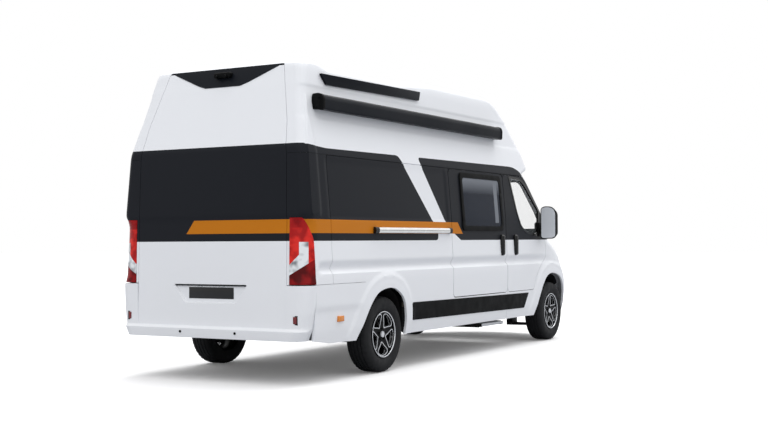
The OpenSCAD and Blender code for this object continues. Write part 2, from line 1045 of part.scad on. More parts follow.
roof_rail_low = roof_height - 232;
roof_rail_rear = rear_y - 570;
roof_rail_len = 1760;
module roof_rails() {
    x0 = half_at(roof_rail_low) + 4;
    color(black)
        both() {
            across([
                [roof_rail_rear - roof_rail_len, roof_rail_low],
                [roof_rail_rear, roof_rail_low],
                [roof_rail_rear - 66, roof_rail_low + 105],
                [roof_rail_rear - roof_rail_len - 30, roof_rail_low + 105]
            ], x0, x0 + 28);
            for (y = [roof_rail_rear - 260, roof_rail_rear - roof_rail_len + 200])
                difference() {
                    block([x0 - 20, y, roof_rail_low + 5], [x0 + 1, y + 80, roof_rail_low + 40]);
                    body_form(-fixed_gap);
                }
        }
}

light_bar_z = 1280;
module light_bar() {
    x0 = half_at(light_bar_z) + fixed_gap;
    color("#e8e8e6")
        block([-x0 - 24, slide_rear + 50, light_bar_z], [-x0, rear_axle + 207, light_bar_z + 56]);
}

module hatch_lid() {
    color("#d8dadc")
        translate([hatch_centre[0], hatch_centre[1], roof_height + hatch_frame_h + fixed_gap])
            translate([-hatch_w / 2 - 45, -hatch_len / 2 - 45, 0])
                cube([hatch_w + 90, hatch_len + 90, 26]);
}

// ---- cab interior ----

// The steering column stands square on the dashboard's slanted face, leaning rearwards
dash_front = bulkhead_y + 30 + fixed_gap;
dash_corner = [dash_front + 290, 1020];
dash_face = 180;
column_lean = 38;
column_len = 160;
column_way = [sin(column_lean), cos(column_lean)];
face_way = [-cos(column_lean), sin(column_lean)];
module dashboard() {
    color("#2a2b2e")
        across([
            [dash_front, 760], [dash_front + 240, 760], dash_corner,
            dash_corner + dash_face * face_way, [dash_front, 1150]
        ], -half_at(1000) + wall + 30, half_at(1000) - wall - 30);
}

column_foot = dash_corner + dash_face / 2 * face_way;
wheel_point = column_foot + (column_len + 2 * spindle_gap) * column_way;
steering_centre = [430, wheel_point[0], wheel_point[1]];
module steering_wheel() {
    rim_t = 16;
    color(black)
        translate(steering_centre)
            rotate([-column_lean, 0, 0]) {
                rotate_extrude($fn = 64)
                    translate([steering_wheel_r - rim_t, 0])
                        circle(r = rim_t, $fn = 24);
                for (a = [90, 210, 330])
                    rotate([0, 0, a])
                        translate([30, -18, -8])
                            cube([steering_wheel_r - 50, 36, 16]);
                translate([0, 0, -40])
                    cylinder(h = 60, r = 58);
                translate([0, 0, -column_len])
                    cylinder(h = column_len - 38, r = 22);
            }
}

seat_y = front_axle + 1120;
seat_x = 480;
module cab_seats() {
    color("#4a4b4e")
        both()
            translate([seat_x, seat_y, 0]) {
                translate([-200, -150, floor_z + fixed_gap])
                    cube([400, 420, 240]);
                translate([-240, -230, floor_z + 240])
                    cube([480, 530, 130]);
                translate([-240, 0, floor_z + 360])
                    rotate([90, 0, 90])
                        linear_extrude(480)
                            polygon([[170, 0], [300, 0], [410, 640], [300, 640]]);
                translate([-130, 0, floor_z + 1010])
                    rotate([90, 0, 90])
                        linear_extrude(260)
                            polygon([[320, -20], [400, -20], [430, 170], [350, 170]]);
            }
}

chassis_frame();
floor_pan();
cab_shell();
door_pillars();
high_roof();
side_panel_left();
side_panel_right();
rear_corners();
sliding_door();
side_windows();
wheel_housings();
front_bumper();
headlights();
rear_bumper();
tail_lamps();
windscreen();
awning();
roof_rails();
light_bar();
engine();
fuel_tank();
exhaust();
rear_axle();
leaf_springs();
dashboard();
cab_seats();
bonnet();
cab_door_left();
cab_door_right();
door_glass_left();
door_glass_right();
mirror_left();
mirror_right();
tailgate();
hatch_lid();
steering_wheel();
side_step();
knuckle_left();
knuckle_right();
tyre_front_left();
tyre_front_right();
tyre_rear_left();
tyre_rear_right();
rim_front_left();
rim_front_right();
rim_rear_left();
rim_rear_right();
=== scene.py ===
import math
import bmesh
import bpy
from mathutils import Matrix, Vector


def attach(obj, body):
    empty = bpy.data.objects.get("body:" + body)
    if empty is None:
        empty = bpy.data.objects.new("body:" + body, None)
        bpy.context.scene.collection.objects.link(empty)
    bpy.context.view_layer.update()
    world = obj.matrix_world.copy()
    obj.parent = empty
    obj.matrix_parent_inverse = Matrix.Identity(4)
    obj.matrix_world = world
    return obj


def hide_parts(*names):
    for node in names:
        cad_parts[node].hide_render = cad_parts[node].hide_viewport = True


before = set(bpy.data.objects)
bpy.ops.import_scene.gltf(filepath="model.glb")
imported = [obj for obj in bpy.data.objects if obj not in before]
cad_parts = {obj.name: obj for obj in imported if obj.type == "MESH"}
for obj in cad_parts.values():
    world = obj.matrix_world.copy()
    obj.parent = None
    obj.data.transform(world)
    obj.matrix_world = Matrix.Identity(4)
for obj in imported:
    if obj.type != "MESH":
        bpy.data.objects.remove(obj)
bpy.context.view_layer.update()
scene = bpy.context.scene
print("frame loaded")

# camera behind the van's right rear corner, about as high as its lamps
viewer = {"place": (-6.494, 11.326, 1.213), "yaw": 30.0, "pitch": 1.18, "roll": -0.33, "lens": 55.8}


def placeCamera(view):
    yaw, pitch, roll = (math.radians(view[k]) for k in ("yaw", "pitch", "roll"))
    ahead = Vector((math.sin(yaw) * math.cos(pitch), -math.cos(yaw) * math.cos(pitch), math.sin(pitch)))
    right = ahead.cross(Vector((0, 0, 1))).normalized()
    turn = Matrix((right, right.cross(ahead), -ahead)).transposed() @ Matrix.Rotation(roll, 3, "Z")
    data = bpy.data.cameras.new("camera")
    data.lens = view["lens"]
    data.sensor_width = 36
    camera = bpy.data.objects.new("camera", data)
    camera.matrix_world = Matrix.Translation(view["place"]) @ turn.to_4x4()
    scene.collection.objects.link(camera)
    scene.camera = camera


placeCamera(viewer)

# places along the van, in metres
frontAxle, rearAxle, axleHeight = -2.217, 1.818, 0.35
gutter = 1.954
linerLow = 0.352  # lower edge of the wheel arch liners
turnRoom = 0.055  # what a front liner gives the turned tyre
glossLow = 0.08  # specular level of the satin finishes
slideFront, slideRear = -0.905, 0.437
cornerSeam, bumperSeam = 2.73, 2.993
gap = 0.003  # half of a seam between panels


def hexColor(text, alpha=1.0):
    parts = [int(text[k:k + 2], 16) / 255 for k in (1, 3, 5)]
    return tuple(c / 12.92 if c < 0.04045 else ((c + 0.055) / 1.055) ** 2.4 for c in parts) + (alpha,)


def addNode(tree, kind, *values, named=None, take=0, **settings):
    # values fill the inputs in order, named ones by key; the output to take is returned, or all of them
    node = tree.nodes.new("ShaderNode" + kind)
    for key, value in settings.items():
        setattr(node, key, value)
    for key, value in [*enumerate(values), *(named or {}).items()]:
        if isinstance(value, bpy.types.NodeSocket):
            tree.links.new(value, node.inputs[key])
        else:
            node.inputs[key].default_value = value
    return node.outputs if take is None else node.outputs[take]


def toned(colour, factor):
    return tuple(min(1, c * factor) for c in colour[:3]) + (1,)


def finish(name, colour, rough=0.4, metal=0.0, coat=0.0, vary=0.05, patch=2.5, grain=None, more=None):
    # a finish with patches of tone, uneven gloss and a fine relief: (texture node, scale, depth in metres)
    material = bpy.data.materials.new(name)
    material.use_nodes = True
    tree = material.node_tree
    shader = tree.nodes["Principled BSDF"]
    where = addNode(tree, "TexCoord", take="Object")
    tint = hexColor(colour)
    cloud = addNode(tree, "TexNoise", named={"Vector": where, "Scale": patch, "Detail": 5.0}, take="Fac")
    tree.links.new(addNode(tree, "Mix", named={0: cloud, 6: toned(tint, 1 - vary), 7: toned(tint, 1 + vary)},
                           take=2, data_type="RGBA"), shader.inputs["Base Color"])
    gloss = addNode(tree, "MapRange", named={"Value": cloud, "From Min": 0.3, "From Max": 0.7,
                                             "To Min": rough * 0.85, "To Max": min(1, rough * 1.15)}, take=None)
    tree.links.new(gloss[0], shader.inputs["Roughness"])
    shader.inputs["Metallic"].default_value = metal
    shader.inputs["Coat Weight"].default_value = coat
    shader.inputs["Coat Roughness"].default_value = 0.04
    shader.inputs["Specular IOR Level"].default_value = 0.3 if metal == 0 else 0.5
    if grain:
        kind, scale, depth = grain
        height = addNode(tree, kind, named={"Vector": where, "Scale": scale})
        bump = addNode(tree, "Bump", named={"Height": height, "Distance": depth, "Strength": 0.6}, take=None)
        tree.links.new(bump[0], shader.inputs["Normal"])
    for key, value in (more or {}).items():
        shader.inputs[key].default_value = value
    return material


noise, cells, waves = "TexNoise", "TexVoronoi", "TexWave"
finishes = {
    # sprayed enamel over steel and laminate: clean, softly shining
    "white": finish("whitePaint", "#e8eaee", 0.34, coat=0.05, vary=0.012, patch=0.8,
                    grain=(noise, 900, 0.00004)),
    # moulded plastic with a leather-like grain: dull black
    "black": finish("grainedPlastic", "#0a0b0c", 0.55, vary=0.15, patch=9, grain=(cells, 700, 0.0003)),
    # lacquered plastic: mirrors its surroundings a little
    "glossBlack": finish("glossBlack", "#08090a", 0.22, coat=0.1, vary=0.1, patch=6,
                         grain=(noise, 300, 0.00005)),
    # powder-coated aluminium: dark grey with a slight blue cast
    "anthracite": finish("anthraciteCase", "#15181e", 0.42, coat=0.02, vary=0.05, patch=2,
                         grain=(noise, 700, 0.00008)),
    # needled felt: swallows the light in the wheel arches
    "felt": finish("archLiner", "#0b0b0c", 0.95, vary=0.3, patch=20, grain=(noise, 350, 0.001)),
    # vulcanised rubber, slightly grey from dust
    "tyre": finish("tyreRubber", "#17181a", 0.72, vary=0.2, patch=14, grain=(noise, 420, 0.0003)),
    # diamond-turned aluminium under lacquer: bright edges
    "silver": finish("machinedRim", "#e3e5e8", 0.25, metal=0.6, coat=0.3, vary=0.04, patch=30,
                     grain=(noise, 1400, 0.00005)),
    # black-painted cast wheel
    "rimBlack": finish("rimBlack", "#08090a", 0.35, coat=0.0, vary=0.1, patch=20, grain=(noise, 800, 0.00004)),
    # zinc-plated steel: pale, a little uneven
    "steel": finish("zincSteel", "#8c8f92", 0.4, metal=0.85, vary=0.12, patch=14, grain=(noise, 500, 0.0002)),
    # rough cast aluminium and iron
    "cast": finish("castMetal", "#5c5e60", 0.6, metal=0.6, vary=0.15, patch=18, grain=(noise, 260, 0.0006)),
    # brake disc in shadow behind the spokes
    "disc": finish("brakeDisc", "#050505", 0.8, metal=0.0, vary=0.1, patch=25, grain=(waves, 130, 0.0001)),
    # chassis paint over rolled steel
    "frame": finish("framePaint", "#101112", 0.55, vary=0.2, patch=7, grain=(noise, 220, 0.0004)),
    # resin-bonded plywood floor
    "floor": finish("floorBoard", "#6d665c", 0.7, vary=0.15, patch=4, grain=(noise, 160, 0.0004)),
    # extruded, ribbed aluminium tread
    "aluminium": finish("ribbedAluminium", "#c2c5c9", 0.33, metal=0.85, vary=0.05, patch=12,
                        grain=(noise, 600, 0.0002)),
    # milky tube of the awning lamp
    "strip": finish("lampTube", "#f0f0ee", 0.25, coat=0.4, vary=0.02, patch=5, grain=(noise, 200, 0.00005)),
    # amber acrylic with small prisms
    "amber": finish("amberLens", "#d8822a", 0.15, coat=0.8, vary=0.08, patch=30, grain=(cells, 380, 0.0004)),
    # red acrylic with small prisms
    "redLens": finish("redLens", "#6e0f14", 0.12, coat=0.9, vary=0.15, patch=20, grain=(cells, 320, 0.0005)),
    # silvered glass of the door mirrors, given as painted reflection: a pale flat colour in place of mirroring
    "mirror": finish("mirrorGlassPaintedReflection", "#d9dde3", 0.12, metal=0.0, vary=0.02, patch=4, grain=(noise, 60, 0.00002)),
    # woven seat cloth with a faint sheen
    "fabric": finish("seatCloth", "#3d4045", 0.9, vary=0.15, patch=8, grain=(waves, 420, 0.0006),
                     more={"Sheen Weight": 0.3}),
    # soft moulded skin with a fine grain
    "dash": finish("dashSkin", "#2b2c2e", 0.75, vary=0.1, patch=6, grain=(cells, 420, 0.0005)),
    # pale pressed board and cloth of the cab
    "lining": finish("cabLining", "#b9b8b3", 0.85, vary=0.05, patch=5, grain=(noise, 420, 0.0004)),
    # blank plate, lacquered
    "plate": finish("blankPlate", "#0f1012", 0.3, coat=0.4, vary=0.1, patch=10, grain=(noise, 300, 0.00006)),
}


def glassFinish(name, colour, alpha, rough=0.04):
    # seen through by blending, with a full gloss
    material = finish(name, colour, rough, coat=0.6, vary=0.04, patch=2, grain=(noise, 20, 0.00004))
    material.node_tree.nodes["Principled BSDF"].inputs["Alpha"].default_value = alpha
    return material


finishes["clear"] = glassFinish("clearGlass", "#c4cccd", 0.06)
finishes["lens"] = glassFinish("clearLens", "#d5dade", 0.35)
finishes["smoke"] = glassFinish("smokedDome", "#8f9498", 0.7, 0.12)


# the livery's lines, each as height against place along the side
livery = {"dark": "#1f2126", "orange": "#c0741a", "white": "#e8eaee", "bandLow": 1.213, "stripeLow": 1.279,
          "stripeHigh": 1.396, "rearTop": 2.036}


def liveryPaint(cfg):
    material = finish("liveryPaint", cfg["white"], 0.34, coat=0.0, vary=0.012, patch=0.8,
                      grain=(noise, 900, 0.00004))
    tree = material.node_tree
    shader = tree.nodes["Principled BSDF"]
    white = shader.inputs["Base Color"].links[0].from_socket
    split = addNode(tree, "SeparateXYZ", addNode(tree, "TexCoord", take="Object"), take=None)
    x, y, z = split

    def line(a, b, level=y):
        # place along the side of a straight line between two points (y, z), minus the shading point's own
        slope = (b[0] - a[0]) / (b[1] - a[1])
        return addNode(tree, "Math", addNode(tree, "Math", z, slope, a[0] - slope * a[1],
                                             operation="MULTIPLY_ADD"), level, operation="SUBTRACT")

    def within(*depths):
        # smallest of several distances inside, its corners rounded
        result = depths[0]
        for depth in depths[1:]:
            result = addNode(tree, "Math", result, depth, 0.07, operation="SMOOTH_MIN")
        return addNode(tree, "Math", result, 0.0, operation="GREATER_THAN")

    def both(a, b):
        return addNode(tree, "Math", a, b, operation="MULTIPLY")

    top = addNode(tree, "Math", addNode(tree, "Math", y, -0.00973, 2.037, operation="MULTIPLY_ADD"),
                  addNode(tree, "Math", y, 0.0667, 1.829, operation="MULTIPLY_ADD"), operation="MAXIMUM")
    pillar = addNode(tree, "Math", y, 0.816, 3.2, operation="MULTIPLY_ADD")
    top = addNode(tree, "Math", top, pillar, 0.3, operation="SMOOTH_MIN")
    underTop = addNode(tree, "Math", top, z, operation="SUBTRACT")
    overLow = addNode(tree, "Math", z, cfg["bandLow"], operation="SUBTRACT")
    overStripe = addNode(tree, "Math", z, cfg["stripeHigh"], operation="SUBTRACT")
    underStripe = addNode(tree, "Math", cfg["stripeLow"], z, operation="SUBTRACT")
    behind = addNode(tree, "Math", line((1.393, 1.962), (0.839, 1.394)), -1, operation="MULTIPLY")
    ahead = line((1.035, 1.979), (0.572, 1.397))
    rearPanel = both(within(underTop, behind), addNode(tree, "Math", overStripe, 0.0, operation="GREATER_THAN"))
    lowStrip = both(within(overLow, addNode(tree, "Math", y, 0.742, operation="SUBTRACT")),
                    addNode(tree, "Math", underStripe, 0.0, operation="GREATER_THAN"))
    tip = line((0.303, 1.396), (0.188, 1.279))
    frontLow = line((0.235, 1.213), (0.38, 1.279))
    upper = both(within(underTop, ahead, addNode(tree, "Math", 1.06, y, operation="SUBTRACT")),
                 addNode(tree, "Math", overStripe, 0.0, operation="GREATER_THAN"))
    inStripe = both(addNode(tree, "Math", overStripe, 0.0, operation="LESS_THAN"),
                    addNode(tree, "Math", underStripe, 0.0, operation="LESS_THAN"))
    upper = addNode(tree, "Math", upper,
                    both(inStripe, addNode(tree, "Math", tip, 0.0, operation="GREATER_THAN")),
                    operation="MAXIMUM")
    lower = both(both(addNode(tree, "Math", frontLow, 0.0, operation="GREATER_THAN"),
                      addNode(tree, "Math", underStripe, 0.0, operation="GREATER_THAN")),
                      addNode(tree, "Math", overLow, 0.0, operation="GREATER_THAN"))
    sideDark = addNode(tree, "Math", addNode(tree, "Math", rearPanel, lowStrip, operation="MAXIMUM"),
                       addNode(tree, "Math", upper, lower, operation="MAXIMUM"), operation="MAXIMUM")
    sideOrange = both(inStripe, addNode(tree, "Math", tip, 0.0, operation="LESS_THAN"))
    rearDark = both(addNode(tree, "Math", overLow, 0.0, operation="GREATER_THAN"),
                    addNode(tree, "Math", z, cfg["rearTop"], operation="LESS_THAN"))
    slant = addNode(tree, "Math", z, -0.723, 1.19, operation="MULTIPLY_ADD")
    rearOrange = both(inStripe, addNode(tree, "Math", x, slant, operation="LESS_THAN"))
    atRear = addNode(tree, "Math", y, 3.035, operation="GREATER_THAN")
    dark = addNode(tree, "Mix", named={0: atRear, 2: sideDark, 3: rearDark})
    orange = addNode(tree, "Mix", named={0: atRear, 2: sideOrange, 3: rearOrange})
    colour = addNode(tree, "Mix", named={0: dark, 6: white, 7: hexColor(cfg["dark"])}, take=2, data_type="RGBA")
    colour = addNode(tree, "Mix", named={0: orange, 6: colour, 7: hexColor(cfg["orange"])}, take=2,
                     data_type="RGBA")
    tree.links.new(colour, shader.inputs["Base Color"])
    return material


finishes["livery"] = liveryPaint(livery)


def tintedPane(cfg):
    # dark acrylic, paler under the blind's cassette and along the side runner behind it
    material = finish("tintedAcrylic", cfg["dark"], 0.16, coat=0.0, vary=0.08, patch=2,
                      grain=(noise, 20, 0.00004))
    tree = material.node_tree
    shader = tree.nodes["Principled BSDF"]
    base = shader.inputs["Base Color"].links[0].from_socket
    _, y, z = addNode(tree, "SeparateXYZ", addNode(tree, "TexCoord", take="Object"), take=None)
    top = addNode(tree, "MapRange", z, 1.7, 1.86, 0.0, 0.8)
    runner = addNode(tree, "Math", addNode(tree, "Math", addNode(tree, "Math", addNode(tree, "Math", y, 0.662,
            operation="ADD"), operation="ABSOLUTE"), 0.045, operation="LESS_THAN"), 0.75, operation="MULTIPLY")
    fade = addNode(tree, "Math", top, addNode(tree, "Math", runner, addNode(tree, "Math", z, 1.4,
            operation="GREATER_THAN"), operation="MULTIPLY"), operation="MAXIMUM")
    tree.links.new(addNode(tree, "Mix", named={0: fade, 6: base, 7: hexColor(cfg["pale"])}, take=2,
                           data_type="RGBA"), shader.inputs["Base Color"])
    shader.inputs["Alpha"].default_value = 0.96
    shader.inputs["Specular IOR Level"].default_value = 0.1
    return material


finishes["tint"] = tintedPane({"dark": "#141c2a", "pale": "#868b93"})
for key in ("livery", "black", "anthracite", "rimBlack"):
    finishes[key].node_tree.nodes["Principled BSDF"].inputs["Specular IOR Level"].default_value = glossLow
print("finishes made")


def newObject(name, bm, material=None):
    mesh = bpy.data.meshes.new(name)
    bm.to_mesh(mesh)
    bm.free()
    piece = bpy.data.objects.new(name, mesh)
    scene.collection.objects.link(piece)
    if material:
        mesh.materials.append(finishes[material])
    return piece


def settle(piece):
    # keeps what the modifiers make as the piece's own mesh
    graph = bpy.context.evaluated_depsgraph_get()
    mesh = bpy.data.meshes.new_from_object(piece.evaluated_get(graph))
    piece.modifiers.clear()
    piece.data = mesh


def mount(piece, body, slot=None, nodes=(), angle=32, sub=0, bevel=0):
    # last steps of every piece: edges, shading, and the body that it rides on
    if bevel:
        step = piece.modifiers.new("edges", "BEVEL")
        step.width, step.segments, step.limit_method, step.angle_limit = bevel, 2, "ANGLE", math.radians(40)
        step.use_clamp_overlap = True
        settle(piece)
    if sub:
        step = piece.modifiers.new("round", "SUBSURF")
        step.levels = step.render_levels = sub
        settle(piece)
    piece.data.polygons.foreach_set("use_smooth", [True] * len(piece.data.polygons))
    piece.data.set_sharp_from_angle(angle=math.radians(angle))
    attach(piece, body)
    if nodes:
        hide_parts(*nodes)
    return piece


def prism(points, axis, low, high, radius=0.0, steps=5):
    # an outline across an axis, its corners rounded, drawn out along the axis
    place = {"x": lambda p, h: (h, p[0], p[1]), "y": lambda p, h: (p[0], h, p[1]), "z": lambda p,
             h: (p[0], p[1], h)}[axis]
    radii = radius if isinstance(radius, (list, tuple)) else [radius] * len(points)
    bm = bmesh.new()
    verts = [bm.verts.new(place(p, low)) for p in points]
    bm.faces.new(verts)
    for vert, r in zip(verts, radii):
        if r:
            bmesh.ops.bevel(bm, geom=[vert], affect="VERTICES", offset=r, offset_type="OFFSET", segments=steps,
                            profile=0.5, material=-1)
    made = bmesh.ops.extrude_face_region(bm, geom=bm.faces[:])["geom"]
    shift = Vector(place((0, 0), high - low))
    bmesh.ops.translate(bm, vec=shift, verts=[g for g in made if isinstance(g, bmesh.types.BMVert)])
    bmesh.ops.recalc_face_normals(bm, faces=bm.faces)
    return bm


def box(low, high):
    return prism([(low[0], low[1]), (high[0], low[1]), (high[0], high[1]), (low[0], high[1])], "z", low[2],
                 high[2])


def subtract(piece, tool, mode="DIFFERENCE"):
    step = piece.modifiers.new("carve", "BOOLEAN")
    step.operation, step.object, step.solver = mode, tool, "MANIFOLD"
    settle(piece)
    bpy.data.objects.remove(tool)


def carve(piece, tools, mode="DIFFERENCE"):
    for bm in tools:
        subtract(piece, newObject("tool", bm), mode)
    return piece


def joined(name, parts, material):
    bm = bmesh.new()
    for part in parts:
        mesh = bpy.data.meshes.new("part")
        part.to_mesh(mesh)
        part.free()
        bm.from_mesh(mesh)
        bpy.data.meshes.remove(mesh)
    return newObject(name, bm, material)


def between(table, t):
    if t <= table[0][0]:
        return table[0][1]
    for (a, va), (b, vb) in zip(table, table[1:]):
        if t <= b:
            return va + (vb - va) * (t - a) / (b - a)
    return table[-1][1]


def eased(table, t, reach=0.03):
    # a table's value, its corners rounded over a reach to both sides
    return sum(between(table, t + reach * k / 3) for k in range(-3, 4)) / 7


def ramp(t, low, high):
    k = min(1, max(0, (t - low) / (high - low)))
    return k * k * (3 - 2 * k)


# the body's outer surface: half width, rear and front, and the nose's depth and squareness, at each height
body = {
    "half": [(0.2, 0.975), (0.33, 1.0), (0.45, 1.014), (0.62, 1.022), (0.86, 1.027), (0.98, 1.024),
             (1.21, 1.011),
             (1.44, 1.006), (1.96, 0.962), (2.262, 0.896),
             (2.275, 0.888), (2.54, 0.838), (2.556, 0.842), (2.69, 0.822), (2.74, 0.808), (2.77, 0.775),
             (2.795, 0.7),
             (2.818, 0.54), (2.83, 0.328)],
    "rear": [(0.2, 3.123), (0.47, 3.123), (1.221, 3.107), (1.405, 3.101), (1.43, 3.108), (2.01, 3.09),
             (2.58, 2.926),
             (2.735, 2.874), (2.775, 2.79), (2.8, 2.68), (2.818, 2.56), (2.83, 2.395)],
    "lift": [(-1.9, 0.03), (-1.2, 0.042), (0.5, 0.035), (0.95, 0.0), (1.15, -0.022), (2.45, -0.03),
             (2.62, 0.012), (2.9, 0.018)],
    "front": [(0.2, -0.93), (0.28, -0.938), (0.45, -0.946), (0.62, -0.946), (0.72, -0.94), (0.8, -0.928),
              (0.9, -0.905), (0.98, -0.868), (1.06, -0.8), (1.165, -0.66), (1.262, -0.452), (1.518, -0.13),
              (1.906, 0.33), (1.975, 0.41), (2.0, 0.36), (2.03, 0.22), (2.076, 0.203), (2.218, 0.259),
              (2.397, 0.406), (2.594, 0.599), (2.713, 0.808), (2.76, 1.0), (2.79, 1.2), (2.818, 1.42),
              (2.83, 1.65)],
    "depth": [(0.25, 0.79), (0.42, 0.705), (0.6, 0.66), (0.72, 0.66), (0.84, 0.69), (0.96, 0.76), (1.11, 0.77),
              (1.2, 0.815), (1.262, 0.76), (1.518, 0.52), (1.906, 0.43), (2.1, 0.473), (2.7, 0.486),
              (2.83, 0.5)],
    "power": [(1.2, 2.0), (1.5, 2.6), (1.906, 2.6), (2.1, 2.3)],
    "corner": [(0.2, 0.12), (0.84, 0.12), (0.9, 0.16), (1.36, 0.16), (1.44, 0.075), (2.6, 0.07), (2.74, 0.08),
               (2.83, 0.2)],
    "sideSteps": 216, "frontSteps": 44, "cornerSteps": 10, "rearSteps": 8, "wall": 0.022,
}

frontArch = [(-0.372, 0.3), (-0.378, 0.45), (-0.34, 0.62), (-0.22, 0.76), (0, 0.812), (0.18, 0.785),
             (0.3, 0.69),
             (0.37, 0.6), (0.47, 0.45), (0.56, 0.33), (0.57, 0.1), (-0.372, 0.1)]
rearArch = [(-0.365, 0.33), (-0.372, 0.5), (-0.32, 0.66), (-0.18, 0.755), (-0.03, 0.778), (0.15, 0.745),
            (0.27, 0.66),
            (0.36, 0.55), (0.44, 0.43), (0.507, 0.336), (0.53, 0.1), (-0.365, 0.1)]


def smoothed(points, steps=5):
    # curve through the points of an open outline
    curve = []
    ends = [points[0]] + points + [points[-1]]
    for a, b, c, d in zip(ends, ends[1:], ends[2:], ends[3:]):
        for k in range(steps):
            t = k / steps
            curve.append(tuple(0.5 * (2 * q + (r - p) * t + (2 * p - 5 * q + 4 * r - u) * t * t
                                      + (3 * q - p - 3 * r + u) * t ** 3)
                               for p, q, r, u in zip(a, b, c, d)))
    return curve + [points[-1]]


arches = [[(axle + y, z) for y, z in smoothed(arch[:-2]) + arch[-2:]] for axle, arch in
          ((frontAxle, frontArch), (rearAxle, rearArch))]


def archDistance(y, z):
    # distance outside the nearest arch's edge
    best = 9
    for arch in arches:
        if abs(y - arch[0][0] - 0.45) > 0.85:
            continue
        for (ay, az), (by, bz) in zip(arch[:-2:2], arch[2:-1:2]):
            along = ((y - ay) * (by - ay) + (z - az) * (bz - az)) / ((by - ay) ** 2 + (bz - az) ** 2)
            along = min(1, max(0, along))
            best = min(best, math.hypot(y - ay - along * (by - ay), z - az - along * (bz - az)))
    return best


def sideDetail(y, z):
    # pressed lines of the side: arch flares, rear corner's edge, flat field of the blank windows
    lift = 0.012 * ramp(y, 2.885, 2.9) * ramp(z, 1.415, 1.435) + 0.004 * ramp(y, 2.5, 2.8) * ramp(z, 1.9, 2.1)
    lift -= 0.010 * (1 - ramp(z, 0.6, 0.662)) * ramp(y, 2.2, 2.3)
    lift -= 0.006 * (1 - ramp(y, 2.745, 2.765)) * ramp(y, 0.5, 0.53) * ramp(z, 1.4,
            1.42) * (1 - ramp(z, 1.925, 1.94))
    lift -= 0.032 * ramp(z, 0.925, 0.972) * (1 - ramp(z, 0.976, 1.05)) * (1 - ramp(y, 2.9, 2.95)) * ramp(y,
            -2.3, -1.6)
    if z < 1.1:
        away = archDistance(y, z)
        lift += 0.018 * (1 - ramp(away, 0.11, 0.15)) - 0.004 * ramp(away, 0.03, 0.09) * (1 - ramp(away, 0.09,
                0.12))
    return lift


def planOutline(z, inset, thin=1, form=body):
    half, rear = eased(form["half"], z, 0.012) - inset, eased(form["rear"], z,
            0.006 if z < 0.6 else 0.012) - inset
    front = frontAxle + eased(body["front"], z, 0.02) + inset
    depth, power = eased(body["depth"], z), eased(body["power"], z)
    turn = max(0.02, eased(body["corner"], z) - inset)
    rearSteps, cornerSteps = max(1, body["rearSteps"] // thin), max(3, body["cornerSteps"] // thin)
    sideSteps, frontSteps = body["sideSteps"] // thin, body["frontSteps"] // thin
    points = [(k / rearSteps * (half - turn), rear) for k in range(rearSteps)]
    for k in range(cornerSteps):
        a = math.pi / 2 * k / cornerSteps
        points.append((half - turn + turn * math.sin(a), rear - turn + turn * math.cos(a)))
    start, end = rear - turn, front + depth
    detail = sideDetail if inset < 0.03 else lambda y, z: 0
    for k in range(sideSteps):
        y = start + (end - start) * k / sideSteps
        points.append((half + detail(y, z), y))
    for k in range(frontSteps + 1):
        a = math.pi / 2 * (1 - k / frontSteps)
        x, y = half * math.sin(a) ** (2 / power), front + depth * (1 - math.cos(a) ** (2 / power))
        points.append((x + detail(y, z) * ramp(math.sin(a), 0.8, 1), y))
    return points + [(-x, y) for x, y in points[-2:0:-1]]


def levels(low, high):
    # close together where the arches and the roof's shoulder are, wider apart between them
    stops = [low]
    while stops[-1] < high - 1e-4:
        z = stops[-1]
        # close rings where the sides bend, wide ones where they are flat
        step = (0.012 if z < 0.48 or 0.94 < z < 1.19 else 0.022 if z < 1.1 else 0.03 if z < 1.38
                else 0.012 if z < 1.45 else 0.035 if z < 1.92 else 0.014)
        step = 0.03 if 2.1 < z < 2.7 else 0.003 if z > 2.77 else 0.01 if z > 2.7 else step
        step = 0.007 if 2.23 < z < 2.29 or 2.52 < z < 2.57 else step
        stops.append(min(high, z + step))
    return stops


def loopOf(bm, points, z):
    verts = [bm.verts.new((x, y, z)) for x, y in points]
    return [bm.edges.new(pair) for pair in zip(verts, verts[1:] + verts[:1])]


def lofted(name, loops):
    # closed solid through a stack of outlines
    bm = bmesh.new()
    chain = [loopOf(bm, points, z) for points, z in loops]
    for a, b in zip(chain, chain[1:]):
        bmesh.ops.bridge_loops(bm, edges=a + b)
    for end in (chain[0], chain[-1]):
        bmesh.ops.contextual_create(bm, geom=end)
    bmesh.ops.recalc_face_normals(bm, faces=bm.faces)
    return newObject(name, bm)


def shellBetween(name, outset, wall, low=0.25, thin=1, high=2.83, form=body):
    # the body's surface as a hollow form of even wall, open at its foot
    outer = [(planOutline(z, outset, thin, form), z) for z in levels(low, high)[::thin]]
    inner = [(planOutline(z, outset + wall, thin * 2, form), z) for z in levels(low - 0.04,
            high - wall)[::thin * 2]]
    shell, core = lofted(name, outer), lofted("core", inner)
    subtract(shell, core)
    for vert in shell.data.vertices:
        # the roof is higher over the cab and lower between the rails
        vert.co.z += between(form["lift"], vert.co.y) * ramp(vert.co.z, 2.6, 2.77)
    return shell


